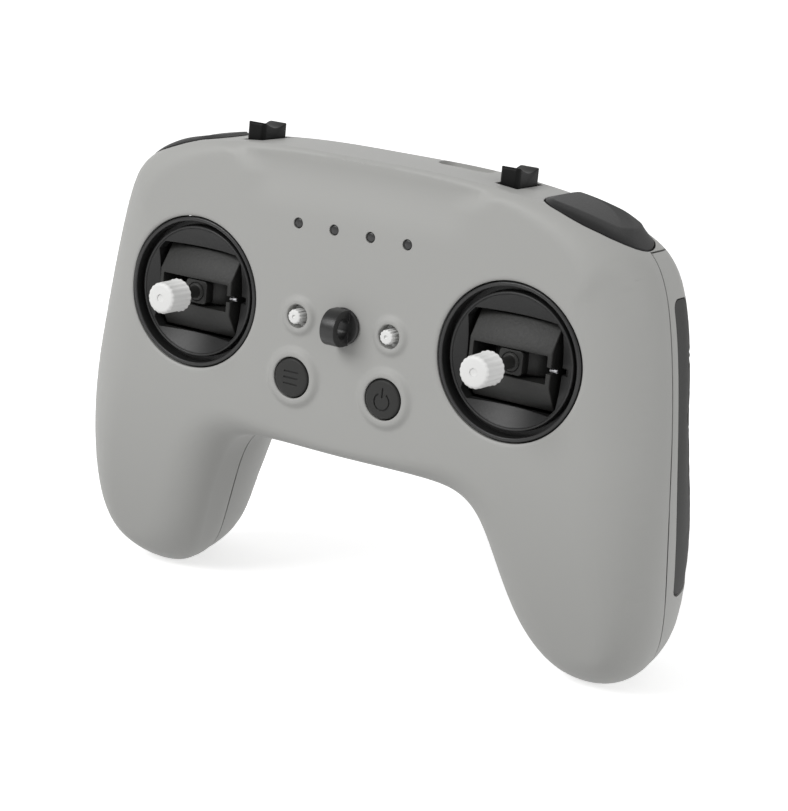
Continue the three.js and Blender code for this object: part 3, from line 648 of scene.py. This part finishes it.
GRIP = Sizes(front=18.3, back=25.5, inner=60, corner=2.5, sink=0.2, foot=1.2, seat=1.5)
DOOR = Sizes(half=22, top=10, front=19)
DOOR_GROOVES = Sizes(count=3, half_x=7, half_z=0.6, corner=0.55, top=-2, pitch=3, depth=0.5)
SCREWS = [(side * x, z) for _, side in SIDES for x, z in ((64.5, 14), (60, -46))]
SCREW = Sizes(seat=18.5, counterbore=2.9, hole=1.6, post=3.9, floor=2)
THROUGH_FACE = (-6, WALL + FACE + 2)
HOOK_HOLE = 2.4
LED_CLEARANCE = 0.12
USB_MOUTH = Sizes(half_x=4.8, half_y=1.95, corner=1.9, floor=25)
USB_RECESS = Sizes(half_x=7, half_y=3.2, corner=3, floor=37.1)
ROCKER = Sizes(y=12.8, half_y=5.1, base=35.3, top=41.4, back=40.9, dip=1.15, end=0.6, chamfer=0.9,
               lean=0.15, brow=0.5, hinge=33.3, hub=2.8, pivot=0.8)
ROCKER_SLOT = Sizes(beside=0.45, ahead=0.9, corner=0.5, floor=32)


def grip_region(side, swell):
    middle_z = (GRIP_TOP + GRIP_BOTTOM) / 2
    points = rounded((GRIP.front + GRIP.back) / 2, middle_z, (GRIP.back - GRIP.front) / 2 + swell,
                     (GRIP_TOP - GRIP_BOTTOM) / 2 + swell, GRIP.corner)
    return prism(points, 0, (GRIP.inner, BIG) if side > 0 else (-BIG, -GRIP.inner))


def top_region(front):
    """The front shell's share of space, or the back shell's, with the step along the top edge."""
    half = GAP / 2
    if front:
        region = block((-BIG, BIG), (-BIG, PARTING - half), (-BIG, BIG))
        step = block((-BIG, BIG), (0, TOP_PARTING - half), (TOP_PARTING_HEIGHT + half, BIG - 1))
        return join(region, step)
    region = block((-BIG, BIG), (PARTING + half, BIG), (-BIG, BIG))
    step = block((-BIG - 1, BIG + 1), (-BIG, TOP_PARTING + half), (TOP_PARTING_HEIGHT - half, BIG + 1))
    return cut(region, step)


def copy_of(obj, name):
    twin = obj.copy()
    twin.data = obj.data.copy()
    twin.name = name
    bpy.context.scene.collection.objects.link(twin)
    return twin


def led_places():
    return [(i - (LED_COUNT - 1) / 2) * LED_PITCH for i in range(LED_COUNT)]


def front_shell(outer, cavity):
    shell = combine(copy_of(outer, "shell_front"), top_region(True), "INTERSECT")
    combine(shell, cavity, keep=True)
    for _, side in SIDES:
        rocker_slot = rounded(side * ROCKER_X, ROCKER.y, ROCKER_HALF + ROCKER_SLOT.beside,
                              ROCKER.half_y + ROCKER_SLOT.ahead, ROCKER_SLOT.corner)
        cut(shell,
            rod(1, (side * GIMBAL_X, 0), RIM_RADIUS + GAP, THROUGH_FACE, 180),
            rod(1, (side * FACE_BUTTON.x, FACE_BUTTON.z), FACE_BUTTON_RADIUS + GAP, THROUGH_FACE, 72),
            rod(1, (side * AUX_BUTTON.x, AUX_BUTTON.z), AUX_HOLE, THROUGH_FACE, 48),
            prism(rocker_slot, 2, (ROCKER_SLOT.floor, BIG)),
            shoulder_opening(side))
    for x in led_places():
        cut(shell, rod(1, (x, LED_Z), LED_RADIUS + LED_CLEARANCE, THROUGH_FACE, 32))
    cut(shell, rod(1, (0, 0), HOOK_HOLE, THROUGH_FACE, 32))
    for hole in (USB_MOUTH, USB_RECESS):
        outline = rounded(USB.x, USB.y, hole.half_x, hole.half_y, hole.corner)
        cut(shell, prism(outline, 2, (hole.floor, BIG)))
    return settle(shell, "controller", "shell", SHELL, "front_shell", straight=True)


def back_shell(outer, cavity, seat):
    shell = combine(copy_of(outer, "shell_back"), top_region(False), "INTERSECT")
    combine(shell, cavity, keep=True)
    cut(shell, block(around(0, DOOR.half), (DOOR.front, BIG), (-BIG, DOOR.top)))
    for _, side in SIDES:
        region = grip_region(side, GAP)
        combine(region, seat, keep=True)
        cut(shell, region, shoulder_opening(side))
    for x, z in SCREWS:
        cut(shell, rod(1, (x, z), SCREW.counterbore, (SCREW.seat, BIG), 48))
        post = rod(1, (x, z), SCREW.post, (PARTING + GAP / 2, SCREW.seat + SCREW.floor), 48)
        combine(post, outer, "INTERSECT", keep=True)
        cut(post,
            rod(1, (x, z), SCREW.counterbore, (SCREW.seat, BIG), 48),
            rod(1, (x, z), SCREW.hole, (0, BIG), 32))
        join(shell, post)
    return settle(shell, "controller", "shell", SHELL, "back_shell", straight=True)


def battery_door(outer, cavity):
    region = block(around(0, DOOR.half - GAP), (DOOR.front + GAP, BIG), (-BIG, DOOR.top - GAP))
    door = combine(copy_of(outer, "door_back"), region, "INTERSECT")
    combine(door, cavity, keep=True)
    for i in range(DOOR_GROOVES.count):
        groove = rounded(0, DOOR_GROOVES.top - DOOR_GROOVES.pitch * i,
                         DOOR_GROOVES.half_x, DOOR_GROOVES.half_z, DOOR_GROOVES.corner)
        cut(door, prism(groove, 1, (DEPTH - DOOR_GROOVES.depth, BIG)))
    return settle(door, "battery_door", "shell", SHELL, "battery_door", straight=True)


def grip_pad(label, side):
    pad = body_mesh("grip_" + label, GRIP.sink, 300, 2.5, False)
    combine(pad, body_mesh("tool", GRIP.foot, 300, 2.5, False))
    combine(pad, grip_region(side, 0), "INTERSECT")
    return settle(pad, "controller", "grip_rubber", RUBBER, "grip_pad_" + label, straight=True)


# ---- gimbals ----

PIVOT_Y = 12.5
BEZEL = Sizes(width=1.0, back=3.4, inner_round=0.3, outer_round=0.45)
DISH = Sizes(radius=17.6, front=3.7, back=4.5, middle=4.0)
LIP = Sizes(foot=15.8, side=(15.62, 1.7), crest=(15.27, 1.6), round=0.35)
BOWL_FORM = Sizes(rim=1.5, depth=4.2, radius=14.9, start=14.85, end=9.6)
GIMBAL_BOX = Sizes(half_x=14.2, half_z=14.5, front=4.2, back=22, hollow_x=12.2, hollow_z=13.3, bearing=1.5)
WINDOW = Sizes(half_x=12, half_z=10.4, radius=14.65, back=4.6)
PIN_NOTCH = Sizes(start=11, end=13.9, half=0.8)
DRUM_HALF_SECTION = [(0.6, 4), (4.6, 9.9), (12.5, 10.3), (20, 4.5)]
DRUM_FORM = Sizes(half=10.4, edge=0.3, slot_x=9.35, slot_z=3.2, pivot=1.2, pivot_start=10.3, pivot_end=13.6,
                  notch_x=(9.2, 12), notch_back=2.5, notch_half=0.75, stick_hole=5.5)
PIN_FORM = Sizes(radius=0.45, edge=0.1, slot_depth=0.3, slot_half=0.1)
STICK = Sizes(face=1.1, wheel=9.05, wheel_half=2.9, pad_x=3.0, pad_z=2.85, pad_back=5, corner=0.9,
              shaft=1.4, fillet=0.4, pivot=0.9, pivot_half=5, ring=(2.1, 2.3), ring_depth=0.35)
KNOB = Sizes(radius=3.72, teeth=18, tooth=0.17, dome=0.9, dimple=0.9, socket=1.65, socket_depth=3.5)


def gimbal_bezel(label, x):
    outer = RIM_RADIUS
    front = span("gimbal_bezel_right", 1)[0]
    inner = outer - BEZEL.width
    small, large = BEZEL.inner_round, BEZEL.outer_round
    profile = [(inner, BEZEL.back)] + arc((inner + small, front + small), small, 180, 270, 4)
    profile += arc((outer - large, front + large), large, 270, 360, 6)
    profile += [(outer, BEZEL.back)]
    ring = turned(profile, x, 0, 160)
    return settle(ring, "controller", "black_plastic", BLACK, "gimbal_bezel_" + label, name="bezel_" + label)


def bowl_depth(radius):
    """Y of the smooth bowl inside the housing's lip."""
    return BOWL_FORM.rim + BOWL_FORM.depth * (1 - (radius / BOWL_FORM.radius) ** 2)


def gimbal_housing(label, x):
    lip = [(LIP.foot, DISH.front), LIP.side] + arc(LIP.crest, LIP.round, 0, -180, 8)
    bowl = [(radius, bowl_depth(radius)) for radius in np.linspace(BOWL_FORM.start, BOWL_FORM.end, 16)]
    profile = [(0, DISH.back), (DISH.radius, DISH.back), (DISH.radius, DISH.front)]
    profile += lip + bowl + [(0, DISH.middle)]
    housing = turned(profile[::-1], x, 0, 160)
    box = GIMBAL_BOX
    walls = block(around(x, box.half_x), (box.front, box.back), around(0, box.half_z))
    join(housing, cut(walls, block(around(x, box.hollow_x), (DISH.back, BIG), around(0, box.hollow_z))))
    opening = rod(1, (x, 0), WINDOW.radius, (-5, WINDOW.back), 160)
    combine(opening, block(around(x, WINDOW.half_x), (-6, 5), around(0, WINDOW.half_z)), "INTERSECT")
    notch = block((x + PIN_NOTCH.start, x + PIN_NOTCH.end), (-5, WINDOW.back), around(0, PIN_NOTCH.half))
    cut(housing, opening, notch, rod(0, (PIVOT_Y, 0), box.bearing, around(x, 15), 32))
    return settle(housing, "controller", "black_plastic", BOWL, "gimbal_housing_" + label,
                  name="housing_" + label, sharp=30)


def gimbal_drum(label, x):
    form = DRUM_FORM
    section = DRUM_HALF_SECTION + [(y, -z) for y, z in reversed(DRUM_HALF_SECTION)]
    drum = bevel(prism(section, 0, around(x, form.half)), form.edge, 3)
    slot = prism(rounded(x, 0, form.slot_x, form.slot_z, form.edge), 1, (-5, 25))
    notch_start, notch_end = form.notch_x
    notch = block((x + notch_start, x + notch_end), (-5, form.notch_back), around(0, form.notch_half))
    cut(drum, slot, notch)
    for end in ((x - form.pivot_end, x - form.pivot_start), (x + form.pivot_start, x + form.pivot_end)):
        join(drum, rod(0, (PIVOT_Y, 0), form.pivot, end, 32))
    cut(drum, rod(2, (x, PIVOT_Y), form.pivot, around(0, form.stick_hole), 32))
    return settle(drum, "drum_" + label, "black_plastic", DRUM, "gimbal_drum_" + label,
                  name="drum_shape_" + label)


def gimbal_pin(label, x):
    low, high = span("gimbal_pin_" + label, 0)
    centre = spot("gimbal_pin_" + label)[0]
    pin = bevel(rod(0, (centre.y, centre.z), PIN_FORM.radius, (low, high), 32), PIN_FORM.edge, 2)
    cut(pin, block((high - PIN_FORM.slot_depth, high + 1), (-2, 8), around(0, PIN_FORM.slot_half)))
    return settle(pin, "drum_" + label, "steel", PIN, "gimbal_pin_" + label, name="pin_" + label)


def stick(label, x):
    """A wheel in the drum's slot, with a square foot and the shaft that carries the knob."""
    front = span("stick_" + label, 1)[0]
    face, shaft, fillet = STICK.face, STICK.shaft, STICK.fillet
    wheel = bevel(rod(2, (x, PIVOT_Y), STICK.wheel, around(0, STICK.wheel_half), 120), 0.3, 3)
    plan = rounded(x, 0, STICK.pad_x, STICK.pad_z, STICK.corner)
    foot = bevel(prism(plan, 1, (face, STICK.pad_back)), 0.22, 3)
    inner, outer = STICK.ring
    floor = face + STICK.ring_depth
    cut(foot, turned([(inner, face - 0.3), (outer, face - 0.3), (outer, floor), (inner, floor)], x, 0, 64))
    neck = [(0, front), (shaft, front), (shaft, face - fillet)]
    neck += arc((shaft + fillet, face - fillet), fillet, 180, 90, 5)
    neck += [(shaft + fillet, face + 0.2), (0, face + 0.2)]
    pivot = rod(2, (x, PIVOT_Y), STICK.pivot, around(0, STICK.pivot_half), 24)
    join(wheel, foot, pivot, turned(neck, x, 0, 48))
    return settle(wheel, "stick_" + label, "dark_plastic", FOOT, "stick_" + label,
                  name="stick_shape_" + label)


def knurled(x, z, radius, y_front, y_back, teeth, tooth, dome, bore, name):
    """A round knob with rounded teeth, a rounded crown and a small dimple."""
    rings = []
    count = teeth * 8
    rim = 0.25
    steps = 6
    levels = [(y_back, 0.0, 0.9), (y_back - rim, rim, 1.0), (y_front + dome, rim, 1.0)]
    for i in range(1, steps + 1):
        turn = i / steps * math.pi / 2
        y = y_front + dome * (1 - math.sin(turn))
        levels.append((y, rim + dome * (1 - math.cos(turn)), 1 - i / steps))
    vertices = []
    for y, inset, bite in levels:
        ring = []
        for i in range(count):
            turn = i / count * 2 * math.pi
            wave = 0.5 - 0.5 * math.cos(turn * teeth)
            reach = radius - inset + rim - tooth * wave ** 1.5 * bite
            ring.append(len(vertices))
            vertices.append((x + reach * math.cos(turn), y, z + reach * math.sin(turn)))
        rings.append(ring)
    faces = [tuple(rings[0]), tuple(rings[-1][::-1])]
    for one, two in zip(rings, rings[1:]):
        for i in range(count):
            j = (i + 1) % count
            faces.append((one[i], one[j], two[j], two[i]))
    knob = face_outwards(new_object(name, vertices, faces))
    dimple = [(0, y_front - 1), (bore, y_front - 1), (bore, y_front + 0.15), (0, y_front + 0.3)]
    return cut(knob, turned(dimple, x, z, 32))


def stick_end(label, x):
    front, back = span("stick_end_" + label, 1)
    knob = knurled(x, 0, KNOB.radius, front, back, KNOB.teeth, KNOB.tooth, KNOB.dome, KNOB.dimple,
                   "stick_end_shape_" + label)
    cut(knob, rod(1, (x, 0), KNOB.socket, (back - KNOB.socket_depth, back + 1), 32))
    return settle(knob, "stick_" + label, "white_plastic", WHITE, "stick_end_" + label, sharp=50)


# ---- buttons ----

MARK = Sizes(half=0.18, depth=(-1, 0.2), row=1.45, row_half=2.0,
             ring=(1.8, 2.15), ring_z=-0.5, opening=0.55, stem_z=1.55, stem_half=1.2)
AUX_KNOB = Sizes(inset=0.25, back=2.3, teeth=12, tooth=0.22, dome=0.5, dimple=0.45, neck=0.4, start=2.0)
LIGHT_PIPE = Sizes(front=7.4, back=8.8, half_z=1.5, edge=0.3)
HOOK = Sizes(height=4.2, half=1.85, hole=2.35, edge=0.45, root=-0.75, plate=4.35, plate_front=-1.1,
             plate_back=-0.5, plate_round=0.4, stem=2.1, stem_end=5.6)


def flange(radius, start):
    """The profile of a button's flange and stem behind the shell, from its side round to its axis."""
    wide = radius + FLANGE.spread
    return [(start, FLANGE.front), (wide, FLANGE.front), (wide, FLANGE.back),
            (FLANGE.stem, FLANGE.back), (FLANGE.stem, FLANGE.stem_end), (0, FLANGE.stem_end)]


def button_body(x, z, radius, front, name):
    profile = [(0, front - 0.12), (radius * 0.5, front - 0.08)]
    profile += arc((radius - 0.6, front + 0.6), 0.6, -90, 0, 6)
    return turned(profile + flange(radius, radius), x, z, 96, name)


def bar(x, z, half_x, half_z, y):
    return prism(rounded(x, z, half_x, half_z, min(half_x, half_z) * 0.95, 5), 1, y)


def mode_button():
    """The mode button, with three bars engraved in it."""
    front = span("mode_button", 1)[0]
    x, z = spot("mode_button")[0].x, FACE_BUTTON.z
    button = button_body(x, z, FACE_BUTTON_RADIUS, front, "mode_button_shape")
    depth = [front + end for end in MARK.depth]
    for row in (-1, 0, 1):
        cut(button, bar(x, z + row * MARK.row, MARK.row_half, MARK.half, depth))
    return settle(button, "mode_button", "dark_plastic", DARK, "mode_button")


def power_button():
    """The power button, with the plain on and off sign engraved in it."""
    front = span("power_button", 1)[0]
    x, z = spot("power_button")[0].x, FACE_BUTTON.z
    button = button_body(x, z, FACE_BUTTON_RADIUS, front, "power_button_shape")
    depth = [front + end for end in MARK.depth]
    turn = np.linspace(MARK.opening, 2 * math.pi - MARK.opening, 40)
    small, large = MARK.ring
    middle = z + MARK.ring_z
    ring = [(x + large * math.sin(t), middle + large * math.cos(t)) for t in turn]
    ring += [(x + small * math.sin(t), middle + small * math.cos(t)) for t in turn[::-1]]
    cut(button, prism(ring, 1, depth), bar(x, z + MARK.stem_z, MARK.half, MARK.stem_half, depth))
    return settle(button, "power_button", "dark_plastic", DARK, "power_button")


def aux_button(label, side):
    front = span("aux_button_" + label, 1)[0]
    x = side * AUX_BUTTON.x
    form = AUX_KNOB
    knob = knurled(x, AUX_BUTTON.z, AUX_BUTTON_RADIUS - form.inset, front, form.back, form.teeth, form.tooth,
                   form.dome, form.dimple, "aux_button_shape_" + label)
    neck = AUX_BUTTON_RADIUS - form.neck
    profile = [(0, form.start), (neck, form.start)] + flange(AUX_BUTTON_RADIUS, neck)
    join(knob, turned(profile, x, AUX_BUTTON.z, 48))
    return settle(knob, "aux_button_" + label, "white_plastic", WHITE, "aux_button_" + label, sharp=50)


def light_pipe():
    form = LIGHT_PIPE
    places = led_places()
    carrier = block(around(0, places[-1] + LED_OVERHANG), (form.front, form.back), around(LED_Z, form.half_z))
    bar_piece = bevel(carrier, form.edge, 2)
    post_end = form.front + 0.2
    for x in places:
        post = [(0, FACE + 0.1), (0.6, FACE + 0.14)]
        post += arc((LED_RADIUS - form.edge, FACE + 0.2 + form.edge), form.edge, -90, 0, 4)
        post += [(LED_RADIUS, post_end), (0, post_end)]
        join(bar_piece, turned(post, x, LED_Z, 40))
    return settle(bar_piece, "controller", "smoke_plastic", SMOKE, "light_pipe", name="light_pipe_shape")


def lanyard_hook():
    height = HOOK.height
    nose = span("lanyard_hook", 1)[0] + height
    profile = [(HOOK.root, -height), (HOOK.root, height)] + arc((nose, 0), height, 90, 270, 20)
    eye = prism(profile, 0, around(0, HOOK.half))
    cut(eye, rod(0, (nose, 0), HOOK.hole, (-4, 4), 48))
    bevel(eye, HOOK.edge, 4)
    corner = HOOK.plate_round
    plate = [(0, HOOK.plate_back), (HOOK.plate, HOOK.plate_back)]
    plate += arc((HOOK.plate - corner, HOOK.plate_front + corner), corner, 0, -90, 5)
    plate += [(0, HOOK.plate_front)]
    base = turned(plate[::-1], 0, 0, 96)
    join(base, eye, rod(1, (0, 0), HOOK.stem, (-0.8, HOOK.stem_end), 48))
    return settle(base, "controller", "black_plastic", BLACK, "lanyard_hook", name="hook_shape")


# ---- top controls ----

def rocker(label, side):
    """A lever with a hollow on top and cut corners, on a hub below the top edge."""
    x, y = side * ROCKER_X, ROCKER.y
    base, top, back, half = ROCKER.base, ROCKER.top, ROCKER.back, ROCKER.half_y
    saddle = []
    for t in np.linspace(0, 1, 17):
        dip = ROCKER.dip * math.sin(math.pi * t) ** 1.2
        saddle.append((y + (half - ROCKER.end) * (1 - 2 * t), back + (top - back) * t - dip))
    profile = [(y - half, base), (y + half, base), (y + half - ROCKER.lean, back - ROCKER.brow)] + saddle
    profile += [(y - half + ROCKER.lean, top - ROCKER.brow)]
    long_x, short_x = ROCKER_HALF, ROCKER_HALF - ROCKER.chamfer
    long_y, short_y = half, half - ROCKER.chamfer
    plan = [(x - long_x, y - short_y), (x - short_x, y - long_y), (x + short_x, y - long_y),
            (x + long_x, y - short_y), (x + long_x, y + short_y), (x + short_x, y + long_y),
            (x - short_x, y + long_y), (x - long_x, y + short_y)]
    lever = prism(profile, 0, around(x, ROCKER_HALF + 1))
    combine(lever, prism(plan, 2, (base - 1, top + 1)), "INTERSECT")
    bevel(lever, 0.22, 3, 25)
    hub_x = around(x, ROCKER_HALF - 0.2)
    join(lever,
         rod(0, (y, ROCKER.hinge), ROCKER.hub, hub_x, 48),
         block(hub_x, around(y, ROCKER.hub), (ROCKER.hinge, base + 0.6)),
         rod(0, (y, ROCKER.hinge), ROCKER.pivot, around(x, ROCKER_HALF + ROCKER_PIVOT_REACH), 24))
    return settle(lever, "rocker_" + label, "black_plastic", LEVER, "rocker_" + label,
                  name="rocker_shape_" + label)


def distance_to(point, outline):
    """Shortest distance from a point to a closed outline."""
    best = 1e9
    p = Vector(point)
    for a, b in zip(outline, outline[1:] + outline[:1]):
        a, b = Vector(a), Vector(b)
        along = max(0, min(1, (p - a).dot(b - a) / max((b - a).length_squared, 1e-9)))
        best = min(best, (p - a - (b - a) * along).length)
    return best


def shoulder_button(label, side, surface):
    """A cap that follows the shell: a flat top with a dished end, and a skirt that slopes to the shell."""
    edge = resampled(soft_outline(shoulder_outline(1)), 0.5)
    flat = resampled(soft_outline(SHOULDER_FLAT), 0.5)
    dish_centre = (DISH_END.x, DISH_END.y)
    ridge = arc(dish_centre, DISH_END.radius, 85, 30, 12)
    samples = [(x / 2.5, y / 2.5) for x in range(108, 168) for y in range(6, 58)]
    flags = inside(np.array(samples), np.array(edge))
    middle = [p for p, ok in zip(samples, flags) if ok and distance_to(p, edge) > 0.45]
    middle = [p for p in middle if distance_to(p, flat) > 0.3]
    crease = [p for p in ridge if inside(np.array([p]), np.array(flat))[0] and distance_to(p, flat) > 0.3]
    middle = [p for p in middle if all(math.dist(p, q) > 0.35 for q in crease)]
    points = edge + flat + middle + crease
    borders = [(i, (i + 1) % len(edge)) for i in range(len(edge))]
    borders += [(len(edge) + i, len(edge) + (i + 1) % len(flat)) for i in range(len(flat))]
    found, _, triangles, _, _, _ = delaunay_2d_cdt([Vector(p) for p in points], borders, [], 1, 1e-5)
    in_flat = inside(np.array([tuple(p) for p in found]), np.array(flat))

    def shell_height(places):
        down = Vector((0, 0, -1))
        return sum(surface.ray_cast(Vector((x, y, BIG)), down)[0].z for x, y in places) / len(places)

    top, bottom = [], []
    for p, level in zip(found, in_flat):
        around_p = [(p.x + dx, p.y + dy) for dx, dy in ((0, 0), (0.7, 0), (-0.7, 0), (0, 0.7), (0, -0.7))]
        own = shell_height(around_p)
        plateau = shell_height([(p.x + dx, SHOULDER.level_y) for dx in (-1.2, 0, 1.2)]) + SHOULDER.proud
        to_edge, to_flat = distance_to(p, edge), distance_to(p, flat)
        share = 1.0 if level else to_edge / max(to_edge + to_flat, 1e-6)
        within = DISH_END.radius - math.dist(p, dish_centre)
        hollow = DISH_END.depth * min(max(within / DISH_END.slope, 0), 1) * share
        top.append((side * p.x, p.y, (own + SHOULDER.rim) * (1 - share) + plateau * share - hollow))
        bottom.append((side * p.x, p.y, own - SHOULDER.thickness))
    count = len(found)
    border = {}
    for t in triangles:
        for a, b in zip(t, t[1:] + t[:1]):
            border[(a, b)] = border.get((a, b), 0) + 1
    rim = [(a, b) for (a, b) in border if (b, a) not in border]
    faces = [tuple(t) for t in triangles] + [tuple(k + count for k in t[::-1]) for t in triangles]
    faces += [(b, a, a + count, b + count) for a, b in rim]
    cap = face_outwards(new_object("shoulder_shape_" + label, top + bottom, faces))
    join(cap, rod(2, (side * SHOULDER.stem_x, SHOULDER.stem_y), SHOULDER.stem, SHOULDER.stem_z, 32))
    return settle(cap, "shoulder_" + label, "dark_plastic", CAP, "shoulder_button_" + label, sharp=24)


# ---- inside ----

def dress_inside():
    """Gives the CAD's own pieces inside the shells their materials."""
    looks = {"battery_pack": WRAP}
    for node in ("hook_nut", "usb_port", "radio_module"):
        looks[node] = STEEL
    for node in ("main_board", "switch_board", "antenna"):
        looks[node] = BOARD
    for node in ("processor", "buzzer", "mode_switch", "power_switch"):
        looks[node] = CHIP
    for label, _ in SIDES:
        looks["gimbal_board_" + label] = BOARD
        for node in ("aux_switch_", "rocker_housing_", "shoulder_switch_"):
            looks[node + label] = CHIP
    for i in range(4):
        looks[f"shell_screw_{i + 1}"] = STEEL
    for node, material in looks.items():
        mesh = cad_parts[node].data
        mesh.materials.clear()
        mesh.materials.append(material)


# ---- stage, light and camera ----

def stage():
    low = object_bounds()[0]
    profile = [(-1.2, 0), (0.5, 0)]
    profile += [(0.5 + 0.5 * math.sin(t), 0.5 - 0.5 * math.cos(t)) for t in np.linspace(0.1, math.pi / 2, 12)]
    profile += [(1.0, 2.0)]
    vertices = [(x, y, low[2] + z) for x in (-2.0, 2.0) for y, z in profile]
    n = len(profile)
    faces = [(i, i + 1, n + i + 1, n + i) for i in range(n - 1)]
    sweep = new_object("stage_sweep", vertices, faces)
    for polygon in sweep.data.polygons:
        polygon.use_smooth = True
    paper = bpy.data.materials.new("stage_paper")
    paper.use_nodes = True
    shader = paper.node_tree.nodes["Principled BSDF"]
    shader.inputs["Base Color"].default_value = (0.88, 0.88, 0.88, 1)
    shader.inputs["Roughness"].default_value = 0.9
    shader.inputs["Emission Color"].default_value = (1, 1, 1, 1)
    shader.inputs["Emission Strength"].default_value = 0.55
    sweep.data.materials.append(paper)
    sweep.visible_diffuse = False
    sweep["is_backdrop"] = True


def area_light(name, location, target, size, power):
    light = bpy.data.lights.new(name, "AREA")
    light.shape = "RECTANGLE"
    light.size, light.size_y = size
    light.energy = power
    obj = bpy.data.objects.new(name, light)
    obj.location = location
    obj.rotation_euler = (Vector(target) - Vector(location)).to_track_quat("-Z", "Y").to_euler()
    bpy.context.scene.collection.objects.link(obj)


def lights():
    """A key from the upper left front, a weaker light on the right side, and an even, pale studio.

    The camera sees the studio as white, and it lights the object at half that strength.
    """
    centre = (0, 0, -0.02)
    area_light("key", (-0.45, -0.95, 0.7), centre, (0.7, 0.6), 9.8)
    area_light("side", (0.95, -0.05, 0.2), centre, (0.5, 0.5), 2.0)
    world = bpy.data.worlds.new("studio")
    world.use_nodes = True
    nodes = world.node_tree.nodes
    links = world.node_tree.links
    seen = nodes.new("ShaderNodeLightPath")
    choose = nodes.new("ShaderNodeMix")
    choose.inputs["A"].default_value = 0.5
    choose.inputs["B"].default_value = 1
    links.new(seen.outputs["Is Camera Ray"], choose.inputs["Factor"])
    background = nodes["Background"]
    background.inputs["Color"].default_value = (1, 1, 1, 1)
    links.new(choose.outputs["Result"], background.inputs["Strength"])
    bpy.context.scene.world = world


def camera():
    """The photographer's place: a long lens to the right of the face and slightly above it."""
    turn, rise, roll = math.radians(30.7), math.radians(13.86), math.radians(5.46)
    distance = 547.64
    target = Vector((15.145, -DEPTH, -15.594))
    back = Vector((math.sin(turn) * math.cos(rise), -math.cos(turn) * math.cos(rise), math.sin(rise)))
    right = (-back).cross(Vector((0, 0, 1))).normalized()
    up = right.cross(-back)
    tilted_right = right * math.cos(roll) + up * math.sin(roll)
    tilted_up = up * math.cos(roll) - right * math.sin(roll)
    lens = bpy.data.cameras.new("camera")
    lens.lens = 107.22
    lens.sensor_width = 36
    lens.clip_start = 0.01
    obj = bpy.data.objects.new("camera", lens)
    place = Matrix((tilted_right, tilted_up, back)).transposed().to_4x4()
    place.translation = (target + back * distance) * MM
    obj.matrix_world = place
    bpy.context.scene.collection.objects.link(obj)
    bpy.context.scene.camera = obj


# ---- the object ----

def build():
    outer = body_mesh("body_outer")
    cavity = body_mesh("body_cavity", WALL, 260, 4, False)
    seat = body_mesh("body_seat", GRIP.seat, 300, 3, False)
    surface = BVHTree.FromObject(outer, bpy.context.evaluated_depsgraph_get())
    front_shell(outer, cavity)
    back_shell(outer, cavity, seat)
    battery_door(outer, cavity)
    for label, side in SIDES:
        x = side * GIMBAL_X
        grip_pad(label, side)
        gimbal_bezel(label, x)
        gimbal_housing(label, x)
        gimbal_drum(label, x)
        gimbal_pin(label, x)
        stick(label, x)
        stick_end(label, x)
        aux_button(label, side)
        rocker(label, side)
        shoulder_button(label, side, surface)
    for tool in (outer, cavity, seat):
        remove(tool)
    mode_button()
    power_button()
    light_pipe()
    lanyard_hook()
    dress_inside()


build()
stage()
lights()
camera()
bpy.context.scene.view_settings.view_transform = "Standard"
